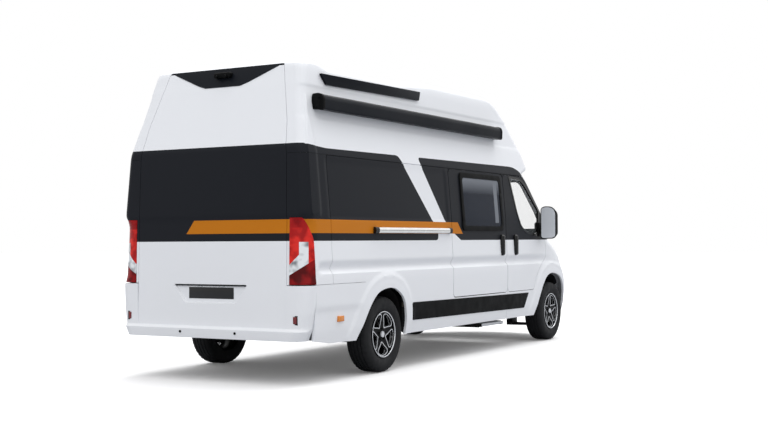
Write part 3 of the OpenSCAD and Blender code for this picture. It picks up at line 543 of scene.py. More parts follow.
bumperForm = dict(body, half=[(0.35, 0.955), (0.38, 0.96), (0.465, 0.998), (0.6, 1.02), (0.86, 1.032)],
                  rear=[(0.35, 3.145), (0.38, 3.152), (0.455, 3.158), (0.462, 3.156), (0.47, 3.130),
                        (0.86, 3.125)],
                  corner=[(0.2, 0.045), (0.86, 0.045)])
shells = {
    "bumper": shellBetween("bumper", 0.0, 0.05, low=0.36, high=1.0, form=bumperForm),
    "skin": shellBetween("skin", 0.0, body["wall"]),
    "gate": shellBetween("gate", 0.0, 0.045, low=0.42, thin=1),
    "glass": shellBetween("glass", 0.010, 0.006, thin=2),
    "trim": shellBetween("trim", -0.004, 0.02, thin=2),
    "proud2": shellBetween("proud2", -0.014, 0.03, low=1.2, thin=2, high=2.1),
    "glassProud": shellBetween("glassProud", -0.008, 0.008, low=1.2, thin=2, high=2.1),
}
print("body shells made")


def panel(name, rides, material, keep, drop=(), source="skin", slot="white_paint", nodes=(), **more):
    piece = shells[source].copy()
    piece.data = piece.data.copy()
    piece.name = piece.data.name = name
    scene.collection.objects.link(piece)
    carve(piece, keep, "INTERSECT")
    carve(piece, drop)
    piece.data.materials.clear()
    piece.data.materials.append(finishes[material])
    return mount(piece, rides, slot, nodes, **more)


far = 4.0


def bothSides(points, axis="x", inner=0.4, **more):
    return [prism(points, axis, inner, far, **more), prism(points, axis, -far, -inner, **more)]


def oneSide(side, points, inner=0.4, **more):
    return prism(points, "x", inner, far, **more) if side > 0 else prism(points, "x", -far, -inner, **more)


def inset(points, by):
    # outline moved in by a distance, for convex outlines
    count, moved = len(points), []
    area = sum(a[0] * b[1] - b[0] * a[1] for a, b in zip(points, points[1:] + points[:1]))
    sign = 1 if area > 0 else -1
    for k in range(count):
        (ax, ay), (bx, by_), (cx, cy) = points[k - 1], points[k], points[(k + 1) % count]
        n1 = Vector((-(by_ - ay), bx - ax)).normalized() * sign
        n2 = Vector((-(cy - by_), cx - bx)).normalized() * sign
        mid = (n1 + n2).normalized()
        moved.append((bx + mid.x * by / max(0.3, mid.dot(n1)), by_ + mid.y * by / max(0.3, mid.dot(n1))))
    return moved


doorOutline = [(-2.036, 0.98), (-2.036, 1.5), (-1.552, 1.892), (-1.427, 1.946), (-0.911, 1.946), (-0.911, 0.63),
               (-1.657, 0.63), (-1.742, 0.8), (-1.877, 0.925)]
doorCorners = [0.05, 0.08, 0.1, 0.1, 0.06, 0.06, 0.03, 0.05, 0.08]
doorWindow = [(-1.876, 1.56), (-1.472, 1.882), (-1.357, 1.912), (-1.085, 1.922), (-1.25, 1.47), (-1.337, 1.36),
              (-1.445, 1.31), (-1.787, 1.262)]
windowCorners = [0.02, 0.08, 0.06, 0.03, 0.1, 0.06, 0.08, 0.05]
slideOutline = [(slideFront, 0.63), (slideRear, 0.63), (slideRear, 1.946), (slideFront, 1.946)]
slideWindow = [(-0.79, 1.34), (0.17, 1.34), (0.17, 1.89), (-0.79, 1.89)]
leftWindow = [(-0.605, 1.35), (0.295, 1.35), (0.295, 1.9), (-0.605, 1.9)]
rearWindow = [(1.468, 1.47), (2.268, 1.47), (2.268, 1.9), (1.468, 1.9)]
gateSide = [(2.83, 2.735), (2.69, 2.5), (2.8, 1.9), (2.8, 0.473), (3.4, 0.473), (3.4, 2.735)]
gateFace = [(-0.812, 0.4), (0.812, 0.4), (0.806, 1.43), (0.797, 1.956), (0.758, 2.24), (0.634, 2.72),
            (0.58, 2.9),
            (-0.58, 2.9), (-0.634, 2.72), (-0.758, 2.24), (-0.797, 1.956), (-0.806, 1.43)]
lampSide = [(bumperSeam, 0.845), (bumperSeam, 1.22), (3.05, 1.37), (3.092, 1.412), (3.4, 1.412), (3.4, 0.845)]
plateWell = [(-0.286, 0.672), (0.286, 0.672), (0.416, 0.847), (-0.416, 0.847)]
screenFace = [(-0.87, 1.33), (0.87, 1.33), (0.815, 1.92), (-0.815, 1.92)]
grilleFace = [(-0.748, 0.806), (0.748, 0.806), (0.748, 0.966), (-0.748, 0.966)]
lampFront = [(0.62, 0.83), (0.99, 0.93), (1.1, 1.09), (0.76, 1.06), (0.7, 0.95)]


def tapered(bm, level, scale):
    # draws in the part of a cutter that is in front of a level
    verts = [v for v in bm.verts if v.co.y < level]
    centre = sum((v.co for v in verts), Vector()) / len(verts)
    bmesh.ops.scale(bm, vec=scale, space=Matrix.Translation(-centre), verts=verts)
    return bm


def gateZone(grow):
    return [prism(inset(gateFace, -grow), "y", 2.2, far), prism(inset(gateSide, -grow), "x", -1.2, 1.2)]


def bodyMinusGate(piece):
    # what a panel loses to the tailgate, which is where its two outlines cross
    zone = gateZone(gap)
    tool = newObject("tool", zone[0])
    carve(tool, [zone[1]], "INTERSECT")
    subtract(piece, tool)
    piece.data.polygons.foreach_set("use_smooth", [True] * len(piece.data.polygons))
    piece.data.set_sharp_from_angle(angle=math.radians(32))


roof = panel("roofShell", "body", "livery", [box((-far, -far, gutter + 0.001), (far, far, far))],
             [prism([(-0.26, 0.768), (0.26, 0.768), (0.26, 1.468), (-0.26, 1.468)], "z", 2.7, far, 0.03)],
             slot="roof_shell", nodes=["high_roof"])
bodyMinusGate(roof)
# room for the turning edge of the tailgate
carve(roof, [box((-0.632, 2.845, 2.7), (0.632, 2.885, 2.748))], "DIFFERENCE")

gate = panel("tailgatePanel", "gate", "livery", gateZone(-0.001),
             [tapered(prism(plateWell, "y", 3.094, 3.13, [0.03, 0.03, 0.02, 0.02]), 3.1, (0.93, 1, 0.86))],
             source="gate",
             slot="rear_panels", nodes=["tailgate"])

for side, word in ((1, "Left"), (-1, "Right")):
    lampHole = oneSide(side, lampSide, 0.835, radius=[0, 0.03, 0.05, 0, 0, 0])
    corner = panel("rearCorner" + word, "body", "livery",
                   [box((0.3 if side > 0 else -far, cornerSeam + gap, 0.33), (far if side > 0 else -0.3, far,
                           gutter - 0.001))],
                   [lampHole, box((-0.94, 2.5, 0.1), (0.94, far, 0.46)),
                    oneSide(side, [(bumperSeam - gap, 0.1), (far, 0.1), (far, 0.845),
                                   (bumperSeam - gap, 0.845)], 0.3),
                    oneSide(side, [(2.5, 0.1), (bumperSeam, 0.1), (bumperSeam, 0.845), (2.5, 0.845)], 0.5)],
                   slot="rear_panels", nodes=["rear_corners"] if side > 0 else ())
    bodyMinusGate(corner)
    quarter = [(2.19, 0.842), (2.19, 0.33), (2.73, 0.338), (bumperSeam - gap, 0.372), (bumperSeam - gap, 0.842)]
    panel("rearQuarter" + word, "body", "white", [oneSide(side, quarter, 0.8)],
          [oneSide(side, arches[1], 0.5)], slot="rear_panels")
    openings = [oneSide(side, arches[1], 0.5), oneSide(side, [(2.19, 0.1), (far, 0.1), (far, 0.845),
            (2.19, 0.845)], 0.5)]
    if side > 0:
        openings += [oneSide(side, leftWindow, 0.5, radius=0.06), oneSide(side, rearWindow, 0.5, radius=0.06)]
    else:
        openings += [oneSide(side, inset(slideOutline, -gap * 2), 0.5, radius=0.05)]
    panel("sidePanel" + word, "body", "livery",
          [box((0.3 if side > 0 else -far, slideFront + gap, 0.33), (far if side > 0 else -0.3,
                  cornerSeam - gap, gutter - 0.006))],
          openings, nodes=["side_panel_left" if side > 0 else "side_panel_right"])
    low = "left" if side > 0 else "right"
    panel("cabDoor" + word, "door_" + low, "livery",
          [oneSide(side, inset(doorOutline, gap), 0.5, radius=doorCorners)],
          [oneSide(side, doorWindow, 0.5, radius=windowCorners)], nodes=["cab_door_" + low])
    panel("doorGlass" + word, "door_" + low, "clear",
          [oneSide(side, inset(doorWindow, -0.012), 0.5, radius=windowCorners)],
          source="glass", slot="clear_glass", nodes=["door_glass_" + low])
    # black edge of the cab window
    edge = panel("doorWindowEdge" + word, "door_" + low, "glossBlack",
                 [oneSide(side, inset(doorWindow, -0.014), 0.5, radius=windowCorners)],
                 [oneSide(side, inset(doorWindow, 0.012), 0.5, radius=windowCorners)], source="trim",
                 slot="black_plastic")
panel("slidingDoor", "body", "livery", [oneSide(-1, inset(slideOutline, gap), 0.5, radius=0.05)],
      [oneSide(-1, slideWindow, 0.5, radius=0.06)], nodes=["sliding_door"])
panel("rearBumper", "body", "white", [box((-far, bumperSeam + gap, 0.375), (far, far, 0.839))],
      [prism([(-0.806, 0.478), (0.806, 0.478), (0.815, 0.9), (-0.815, 0.9)], "y", 2.5, far)], source="bumper",
      nodes=["rear_bumper"])
print("rear panels made")

frontZone = box((-far, -far, 0.1), (far, slideFront - gap, gutter - 0.006))
panel("cabShell", "body", "livery", [frontZone],
      bothSides(inset(doorOutline, -gap), inner=0.5, radius=doorCorners)
      + bothSides(arches[0], inner=0.5)
      + [prism(screenFace, "y", -far, -1.7, 0.05), box((-0.751, -far, 0.9), (0.751, -2.666, 1.3)),
         box((-far, -far, 0.1), (far, frontAxle - 0.3, 0.806)), box((-0.751, -far, 0.1), (0.751, -2.6, 1.1)),
         prism(lampFront, "y", -far, -2.55, 0.03), prism([(-x, z) for x, z in lampFront], "y", -far, -2.55,
                 0.03),
         box((-far, -far, 0.1), (far, far, 0.33))],
      nodes=["cab_shell"])
panel("bonnetPanel", "bonnet_panel", "white", [box((-0.748, -far, 0.972), (0.748, -2.669, 1.262))],
      [prism(lampFront, "y", -far, -2.55, 0.03), prism([(-x, z) for x, z in lampFront], "y", -far, -2.55,
              0.03)],
      nodes=["bonnet"])
panel("frontBumper", "body", "white", [box((-far, -far, 0.256), (far, frontAxle - 0.3, 0.8))],
      bothSides(arches[0], inner=0.5)
      + [prism([(-0.62, 0.36), (0.62, 0.36), (0.7, 0.57), (-0.7, 0.57)], "y", -far, -2.6, 0.04)],
      nodes=["front_bumper"])
panel("windscreen", "body", "clear", [prism(inset(screenFace, -0.012), "y", -far, -1.7, 0.05)], source="glass",
      slot="clear_glass", nodes=["windscreen"])
panel("windscreenEdge", "body", "glossBlack", [prism(inset(screenFace, -0.014), "y", -far, -1.7, 0.05)],
      [prism(inset(screenFace, 0.02), "y", -far, -1.7, 0.05)], source="trim", slot="black_plastic")
panel("nosePanel", "body", "glossBlack", [prism(grilleFace, "y", -far, -2.6, 0.01)],
      [prism(lampFront, "y", -far, -2.55, 0.03), prism([(-x, z) for x, z in lampFront], "y", -far, -2.55,
              0.03)],
      slot="black_plastic")
print("cab panels made")


def moved(bm, matrix):
    bmesh.ops.transform(bm, matrix=matrix, verts=bm.verts)
    if matrix.determinant() < 0:
        bmesh.ops.reverse_faces(bm, faces=bm.faces)
    return bm


def softBox(low, high, radius=0.01, steps=3):
    bm = box(low, high)
    bmesh.ops.bevel(bm, geom=bm.edges[:], affect="EDGES", offset=radius, offset_type="OFFSET", segments=steps,
                    profile=0.5, material=-1)
    return bm


def rod(start, end, radius, sides=24, second=None):
    # round bar between two points, its ends closed
    a, b = Vector(start), Vector(end)
    bm = bmesh.new()
    bmesh.ops.create_cone(bm, cap_ends=True, segments=sides, radius1=radius,
                          radius2=radius if second is None else second,
                          depth=(b - a).length)
    return moved(bm, Matrix.Translation((a + b) / 2) @ (b - a).to_track_quat("Z", "Y").to_matrix().to_4x4())


def turned(profile, steps=72, closed=True):
    # profile (along the axle, radius) spun round the x axis
    bm = bmesh.new()
    verts = [bm.verts.new((x, 0, r)) for x, r in profile]
    pairs = zip(verts, verts[1:] + (verts[:1] if closed else []))
    edges = [bm.edges.new(pair) for pair in pairs]
    bmesh.ops.spin(bm, geom=verts + edges, cent=(0, 0, 0), axis=(1, 0, 0), angle=math.tau, steps=steps,
                   use_merge=True)
    bmesh.ops.remove_doubles(bm, verts=bm.verts, dist=1e-5)
    bmesh.ops.recalc_face_normals(bm, faces=bm.faces)
    return bm


def lampLens(cfg):
    # red lens with its clear angled field and the darker field below it; over the clear field the chrome
    # reflector is painted reflection, patches of pale and grey
    material = finish("tailLamp", cfg["red"], 0.14, coat=0.0, vary=0.25, patch=16, grain=(waves, 60, 0.0003))
    tree = material.node_tree
    tree.nodes["Principled BSDF"].inputs["Specular IOR Level"].default_value = 0.15
    shader = tree.nodes["Principled BSDF"]
    red = shader.inputs["Base Color"].links[0].from_socket
    where = addNode(tree, "TexCoord", take="Object")
    x, y, z = addNode(tree, "SeparateXYZ", where, take=None)
    # distance round the corner, measured from the tailgate's edge
    round_ = addNode(tree, "Math", addNode(tree, "Math", x, operation="ABSOLUTE"), 103.0, -86.3,
                     operation="MULTIPLY_ADD")
    round_ = addNode(tree, "Math", round_, addNode(tree, "Math", y, -59.0, 184.0, operation="MULTIPLY_ADD"),
                     operation="ADD")
    low = addNode(tree, "Math", round_, 0.0052, 0.925, operation="MULTIPLY_ADD")
    high = addNode(tree, "Math", round_, 0.0085, 1.012, operation="MULTIPLY_ADD")
    above = addNode(tree, "Math", z, low, operation="GREATER_THAN")
    leg = addNode(tree, "Math", addNode(tree, "Math", round_, 10.2, operation="GREATER_THAN"),
                  addNode(tree, "Math", z, 1.205, operation="LESS_THAN"), operation="MULTIPLY")
    leg = addNode(tree, "Math", leg, addNode(tree, "Math", round_, 19.5, operation="LESS_THAN"),
                  operation="MULTIPLY")
    foot = addNode(tree, "Math", addNode(tree, "Math", z, high, operation="LESS_THAN"),
                   addNode(tree, "Math", round_, 19.5, operation="LESS_THAN"), operation="MULTIPLY")
    clear = addNode(tree, "Math", addNode(tree, "Math", leg, foot, operation="MAXIMUM"), above,
                    operation="MULTIPLY")
    # painted reflection of the chrome reflector behind the clear field: noise patches between pale and grey
    paintedReflectionPatches = addNode(tree, "TexNoise", named={"Vector": where, "Scale": 16.0, "Detail": 1.0}, take="Fac")
    paintedChromeReflection = addNode(tree, "Mix", named={0: addNode(tree, "MapRange", paintedReflectionPatches, 0.45, 0.75),
                                         6: hexColor(cfg["clear"]), 7: hexColor(cfg["paintedChromeReflection"])}, take=2,
                                         data_type="RGBA")
    bands = addNode(tree, "TexNoise", named={"Vector": where, "Scale": 13.0, "Detail": 1.5}, take=None)
    bands = addNode(tree, "MapRange", bands["Fac"], 0.4, 0.62, take=None)
    deep = addNode(tree, "Mix", named={0: bands[0], 6: hexColor(cfg["deep"]), 7: hexColor(cfg["low"])},
                   take=2, data_type="RGBA")
    cap = addNode(tree, "Math", addNode(tree, "Math", z, 1.325, operation="GREATER_THAN"),
                  addNode(tree, "Math", round_, 14.0, operation="LESS_THAN"), operation="MULTIPLY")
    bright = addNode(tree, "Mix", named={0: cap, 6: hexColor(cfg["bright"]), 7: hexColor(cfg["low"])}, take=2,
                     data_type="RGBA")
    colour = addNode(tree, "Mix", named={0: above, 6: deep,
                                         7: addNode(tree, "Mix", named={0: bands[0], 6: red, 7: bright},
                                                    take=2, data_type="RGBA")}, take=2, data_type="RGBA")
    tree.links.new(addNode(tree, "Mix", named={0: clear, 6: colour, 7: paintedChromeReflection}, take=2, data_type="RGBA"),
                   shader.inputs["Base Color"])
    return material


finishes["tailLamp"] = lampLens({"red": "#a81a1a", "bright": "#dd2f27", "clear": "#e9edf0", "paintedChromeReflection": "#84898e",
                                 "deep": "#550508", "low": "#8a0f12"})

# tail lamps, reflectors, sensors and markers
lampProud = shellBetween("lampProud", -0.004, 0.035, low=0.8, thin=1, high=1.45)
shells["proud"] = lampProud
for side, word in ((1, "Left"), (-1, "Right")):
    zone = oneSide(side, inset(lampSide, gap), 0.838, radius=[0, 0.03, 0.05, 0, 0, 0])
    panel("tailLamp" + word, "body", "tailLamp", [zone], source="proud", slot="lamp_red",
          nodes=["tail_lamps"] if side > 0 else (), bevel=0.004)
    frameLow, frameHigh = sorted((side * 0.874, side * 0.926)), (3.112, 3.136)
    mount(joined("reflector" + word, [softBox((frameLow[0], 3.10, 0.512), (frameLow[1], 3.1285, 0.592),
                                              0.004)], "glossBlack"),
          "body", "black_plastic")
    mount(joined("reflectorLens" + word,
                 [softBox((frameLow[0] + 0.008, 3.11, 0.522), (frameLow[1] - 0.008, 3.131, 0.582), 0.003)],
                 "redLens"), "body", "lamp_red")
    sensor = turned([(-0.01, 0), (-0.01, 0.012), (0.004, 0.012), (0.007, 0.009), (0.007, 0)], 24, False)
    place = Matrix.Translation((side * 0.298, 3.155, 0.427)) @ Matrix.Rotation(math.radians(90), 4, "Z")
    mount(joined("parkingSensor" + word, [moved(sensor, place)], "black"), "body", "black_plastic")
    at = side * 1.024
    mount(joined("sideMarker" + word,
                 [softBox((min(at, at - side * 0.03), 2.545, 0.515), (max(at, at - side * 0.03), 2.64, 0.565),
                          0.006)],
                 "amber"), "body", "lamp_red")

# tailgate: dark cover at the top with its camera, grip, plate
gateKit = {"coverTop": 0.625, "coverLow": 0.19, "plate": (0.245, 0.715, 0.815)}


def makeGateKit(cfg):
    top, low = cfg["coverTop"], cfg["coverLow"]
    cover = [(-top, 2.752), (-0.28, 2.607), (-low, 2.578), (low, 2.578), (0.28, 2.607), (top, 2.752)]
    panel("gateCover", "gate", "anthracite", [prism(cover, "y", 2.6, far),
                                              box((-1, 2.6, 2.0), (1, far, 2.752))],
          source="trim", slot="black_plastic")
    mount(joined("rearCamera", [softBox((-0.09, 2.86, 2.662), (0.09, 2.945, 2.71), 0.014),
                                rod((-0.05, 2.93, 2.675), (-0.05, 2.962, 2.668), 0.014),
                                rod((0.05, 2.93, 2.675), (0.05, 2.962, 2.668), 0.014)], "black"), "gate",
                                "black_plastic")
    half, down, up = cfg["plate"]
    mount(joined("blankPlate", [softBox((-half, 3.090, down), (half, 3.097, up), 0.003)], "plate"), "gate",
          "black_plastic")
    mount(joined("plateGrip", [softBox((-0.40, 3.088, 0.826), (0.40, 3.108, 0.846), 0.004)], "glossBlack"),
          "gate", "black_plastic")
    mount(joined("plateLamps", [softBox((x - 0.03, 3.090, 0.818), (x + 0.03, 3.104, 0.828),
                                        0.003) for x in (-0.12, 0.12)], "lens"),
          "gate", "lamp_clear")


makeGateKit(gateKit)


def sheetOn(name, rides, material, outlines, holes=(), source="trim", slot="black_plastic", **more):
    return panel(name, rides, material, outlines, holes, source=source, slot=slot, **more)


# living-space windows: dark frame and tinted pane, proud of the side
for name, side, points in (("slideWindow", -1, slideWindow), ("leftWindow", 1, leftWindow),
                           ("rearWindow", 1, rearWindow)):
    outer, pane = inset(points, -0.03), inset(points, 0.022)
    sheetOn(name + "Frame", "body", "black", [oneSide(side, outer, 0.5, radius=0.05)],
            [oneSide(side, pane, 0.5, radius=0.04)],
            source="proud2", bevel=0.003)
    sheetOn(name + "Pane", "body", "tint", [oneSide(side, inset(pane, -0.004), 0.5, radius=0.04)],
            slot="tinted_glass",
            source="glassProud", nodes=["side_windows"] if side < 0 else ())

# sills and the drip moulding
sillPanel = [(1.311, 0.45), (1.311, 0.62), (-1.501, 0.60), (-1.381, 0.43)]
for side, word in ((1, "Left"), (-1, "Right")):
    sheetOn("sillPanel" + word, "body", "black",
            [oneSide(side, sillPanel, 0.7, radius=[0.02, 0.02, 0.012, 0.012])], bevel=0.002)
    sheetOn("dripRail" + word, "body", "livery",
            [oneSide(side, [(-1.42, gutter - 0.007), (2.915, gutter - 0.007),
            (2.915, gutter + 0.007), (-1.42, gutter + 0.007)], 0.5)], source="glass", slot="roof_shell")
    for arch, end in zip(arches, ("Front", "Rear")):
        edge = prism([(y, max(z, linerLow)) for y, z in arch[:-2]], "x", 0.59 if side > 0 else -0.965,
                     0.965 if side > 0 else -0.59)
        liner = newObject("archLiner" + end + word, edge, "felt")
        bm = bmesh.new()
        bm.from_mesh(liner.data)
        for vert in bm.verts:
            if vert.co.y < -2.5 and vert.co.z < 0.68:  # room for the turned tyre
                vert.co.y -= turnRoom
                vert.co.x = side * min(abs(vert.co.x), 0.9)
        caps = [f for f in bm.faces
                if f.normal.x * side > 0.9 or (f.normal.z < -0.9 and f.calc_center_median().z < 0.4)]
        bmesh.ops.delete(bm, geom=caps, context="FACES")
        bm.to_mesh(liner.data)
        bm.free()
        thick = liner.modifiers.new("thick", "SOLIDIFY")
        thick.thickness, thick.offset = 0.004, -1
        settle(liner)
        mount(liner, "body", "black_plastic", angle=50)

# door handles: upright pills on the sliding and cab doors
handle = {"low": 1.038, "high": 1.272, "half": 0.038, "out": 0.042}


def makeHandle(name, rides, side, y, cfg):
    out = 1.006
    bm = softBox((out - 0.02, y - cfg["half"], cfg["low"]), (out + cfg["out"], y + cfg["half"], cfg["high"]),
                 0.027, 5)
    piece = joined(name, [moved(bm, Matrix.Diagonal((side, 1, 1, 1)))], "glossBlack")
    mount(piece, rides, "black_plastic")


makeHandle("slideHandle", "body", -1, -0.783, handle)
makeHandle("doorHandleRight", "door_right", -1, -1.147, handle)
makeHandle("doorHandleLeft", "door_left", 1, -1.147, handle)

# mirrors: housing, glass in its rim, two arms
mirror = {"x": (1.056, 1.256), "y": (-1.90, -1.79), "z": (1.218, 1.61)}


def makeMirror(word, side, cfg):
    (x0, x1), (y0, y1), (z0, z1) = cfg["x"], cfg["y"], cfg["z"]
    face = [(x0, z0), (x1 - 0.03, z0 + 0.004), (x1, z0 + 0.035), (x1, z1 - 0.06), (x1 - 0.05, z1 - 0.006),
            (x0 + 0.04, z1), (x0, z1 - 0.03)]
    curves = [0.03, 0.025, 0.025, 0.035, 0.035, 0.03, 0.02]
    housing = prism(face, "y", y0, y1, curves, 5)
    front = [v for v in housing.verts if v.co.y < y0 + 0.01]
    centre = Vector(((x0 + x1) / 2, y0, (z0 + z1) / 2))
    bmesh.ops.scale(housing, vec=(0.78, 1, 0.82), space=Matrix.Translation(-centre), verts=front)
    bmesh.ops.bevel(housing, geom=[e for e in housing.edges if e.calc_face_angle(0) > 0.9], affect="EDGES",
                    offset=0.008,
                    offset_type="OFFSET", segments=3, profile=0.5, material=-1)
    flip = Matrix.Diagonal((side, 1, 1, 1))
    rides = "door_" + word.lower()
    arms = [softBox((0.965, -1.885, 1.30), (x0 + 0.03, -1.83, 1.335), 0.012), softBox((0.965, -1.93, 1.25),
            (1.03, -1.81, 1.42), 0.02)]
    mount(joined("mirror" + word, [moved(b, flip) for b in [housing] + arms], "black"), rides,
          "black_plastic", ["mirror_" + word.lower()])
    glass = prism(inset(face, 0.013), "y", y1 - 0.004, y1 + 0.002, curves, 5)
    lowGlass = moved(glass, flip)
    # the mirror glass carries the painted reflection, a pale flat colour
    mount(joined("mirrorGlassPaintedReflection" + word, [lowGlass], "mirror"), rides, "black_plastic")


makeMirror("Left", 1, mirror)
makeMirror("Right", -1, mirror)
print("side fittings made")

# awning: extruded case with a lead rail and moulded end caps
awning = {"start": -0.885, "end": 2.81, "low": 2.338, "high": 2.478, "out": 0.982}


def makeAwning(cfg):
    z0, z1, out = cfg["low"], cfg["high"], cfg["out"]
    case = [(-0.858, z0 + 0.01), (-0.872, z1 - 0.006), (-out + 0.045, z1), (-out + 0.012, z1 - 0.018),
            (-out, z1 - 0.05),
            (-out + 0.003, z0 + 0.012), (-out + 0.014, z0)]
    body_ = prism(case, "y", cfg["start"] + 0.03, cfg["end"] - 0.035, [0, 0.01, 0.02, 0.01, 0.01, 0.006,
            0.006], 4)
    rail = softBox((-out + 0.004, cfg["start"] + 0.03, z0 + 0.0), (-out + 0.02, cfg["end"] - 0.035,
            z0 + 0.026), 0.004)
    mount(joined("awningCase", [body_, rail], "anthracite"), "body", "awning_case", ["awning"])
    caps = []
    for y0, y1 in ((cfg["start"], cfg["start"] + 0.032), (cfg["end"] - 0.037, cfg["end"])):
        outline = [(x - 0.004 if x < -0.9 else x, z + (0.004 if z > 2.4 else -0.004)) for x, z in case]
        cap = prism(outline, "y", y0, y1, [0, 0.012, 0.024, 0.012, 0.012, 0.008, 0.008], 4)
        caps.append(cap)
    caps.append(softBox((-0.955, cfg["end"] - 0.004, z0 + 0.02), (-0.90, cfg["end"] + 0.006, z1 - 0.05), 0.004))
    caps.append(rod((-0.94, cfg["end"] - 0.01, z1 - 0.035), (-0.94, cfg["end"] + 0.008, z1 - 0.035), 0.014))
    mount(joined("awningCaps", caps, "black"), "body", "black_plastic", bevel=0.002)


makeAwning(awning)

# roof rails: flat black bars with feet, each in the roof's side recess
rails = {"low": 2.6, "high": 2.69, "in": 0.832, "out": 0.858}


def makeRails(cfg):
    for side, word in ((1, "Left"), (-1, "Right")):
        bar = [(0.848, 2.611), (2.555, 2.581), (2.64, 2.673), (0.821, 2.7)]
        x0, x1 = sorted((side * cfg["in"], side * cfg["out"]))
        parts = [prism(bar, "x", x0, x1, 0.008, 3)]
        for y in (0.95, 1.7, 2.45):
            a, b = sorted((side * 0.80, side * 0.84))
            parts.append(softBox((a, y - 0.06, cfg["low"] + 0.02), (b, y + 0.06, cfg["high"] - 0.015), 0.006))
        mount(joined("roofRail" + word, parts, "anthracite"), "body", "rail_black",
              ["roof_rails"] if side > 0 else (), bevel=0.002)


makeRails(rails)

# light strip on the right side: white tube between dark end caps, with a thin dark line along its face
strip = {"rear": 2.025, "front": 0.487, "low": 1.28, "high": 1.336}


def makeStrip(cfg):
    mid = (cfg["low"] + cfg["high"]) / 2
    section = [(-1.012, cfg["low"] + 0.002), (-1.012, cfg["high"] - 0.002), (-1.034, cfg["high"] - 0.002),
               (-1.043, mid + 0.012),
               (-1.043, mid - 0.012), (-1.034, cfg["low"] + 0.002)]
    mount(joined("lampTube", [prism(section, "y", cfg["front"] + 0.05, cfg["rear"] - 0.06,
                                    [0, 0, 0.006, 0.006, 0.006, 0.006], 3)],
                 "strip"), "body", "light_strip", ["light_bar"])
    caps = [prism([(x - 0.002, z + (0.003 if z > mid else -0.003)) for x, z in section], "y", y0, y1,
                  [0, 0, 0.007, 0.007, 0.007, 0.007], 3)
            for y0, y1 in ((cfg["front"], cfg["front"] + 0.052), (cfg["rear"] - 0.062, cfg["rear"]))]
    caps.append(softBox((-1.0452, cfg["front"] + 0.05, mid - 0.0015), (-1.04, cfg["rear"] - 0.06,
            mid + 0.0015), 0.0007, 1))
    mount(joined("lampTubeCaps", caps, "glossBlack"), "body", "black_plastic")


makeStrip(strip)

# retracting step: ribbed tread, nosing, end brackets
tread = {"x": (-1.0, -0.53), "y": (-0.826, -0.281), "z": (0.282, 0.312)}


def makeStep(cfg):
    (x0, x1), (y0, y1), (z0, z1) = cfg["x"], cfg["y"], cfg["z"]
    parts = [softBox((x0, y0, z0), (x1, y1, z1 - 0.003), 0.004)]
    parts += [softBox((x0 + 0.03 + 0.016 * k, y0 + 0.02, z1 - 0.006), (x0 + 0.038 + 0.016 * k, y1 - 0.02, z1),
                      0.001, 1) for k in range(16)]
    parts.append(rod((x0 + 0.014, y0, z0 + 0.016), (x0 + 0.014, y1, z0 + 0.016), 0.014, 20))
    mount(joined("stepTread", parts, "aluminium"), "step", "step_aluminium", ["side_step"])
    ends = [softBox((x0 + 0.004, y - 0.006, z0 - 0.004), (x0 + 0.16, y + 0.006, z1 + 0.001),
                    0.003) for y in (y0 + 0.004, y1 - 0.004)]
    mount(joined("stepEnds", ends, "black"), "step", "black_plastic")


makeStep(tread)

# roof hatch: dome on its frame
hatch = {"centre": (0.0, 1.118), "half": (0.295, 0.395), "low": 2.846, "high": 2.872}


def makeHatch(cfg):
    (cx, cy), (hx, hy) = cfg["centre"], cfg["half"]
    bm = softBox((cx - hx, cy - hy, cfg["low"]), (cx + hx, cy + hy, cfg["high"]), 0.012, 3)
    mount(joined("hatchDome", [bm], "smoke"), "roof_hatch", "hatch_plastic", ["hatch_lid"])
    ring = prism([(cx - 0.29, cy - 0.39), (cx + 0.29, cy - 0.39), (cx + 0.29, cy + 0.39),
                  (cx - 0.29, cy + 0.39)], "z", 2.815, 2.843, 0.04)
    piece = newObject("hatchFrame", ring, "white")
    carve(piece, [prism([(-0.245, cy - 0.345), (0.245, cy - 0.345), (0.245, cy + 0.345),
                         (-0.245, cy + 0.345)], "z", 2.7, 2.9, 0.03)])
    mount(piece, "body", "roof_shell", bevel=0.002)


makeHatch(hatch)
print("roof and side equipment made")

# wheels: tyre with tread blocks, five-window rim with machined edges, hub, disc
wheel = {"radius": 0.35, "windows": 5}


def makeTyre(cfg):
    top = cfg["radius"]
    profile = [(-0.078, 0.206), (-0.092, 0.214), (-0.1, 0.228), (-0.109, 0.256), (-0.1125, 0.28),
               (-0.11, 0.306), (-0.1, 0.33),
               (-0.09, 0.342)]
    for centre in (-0.056, -0.019, 0.019, 0.056):
        profile += [(centre - 0.005, top - 0.0005), (centre - 0.004, top - 0.009),
                    (centre + 0.004, top - 0.009), (centre + 0.005, top - 0.0005)]
    profile += [(-x, r) for x, r in profile[7::-1]]
    profile += [(0.07, 0.2), (-0.07, 0.2)]
    bm = turned(profile, 120)
    for vert in bm.verts:
        # cross grooves in the shoulders
        angle = round(math.atan2(vert.co.y, vert.co.z) / math.tau * 120)
        r = math.hypot(vert.co.y, vert.co.z)
        if angle % 3 == 0 and r > 0.338 and abs(vert.co.x) > 0.05:
            vert.co.y *= 1 - 0.006 / r
            vert.co.z *= 1 - 0.006 / r
    return bm


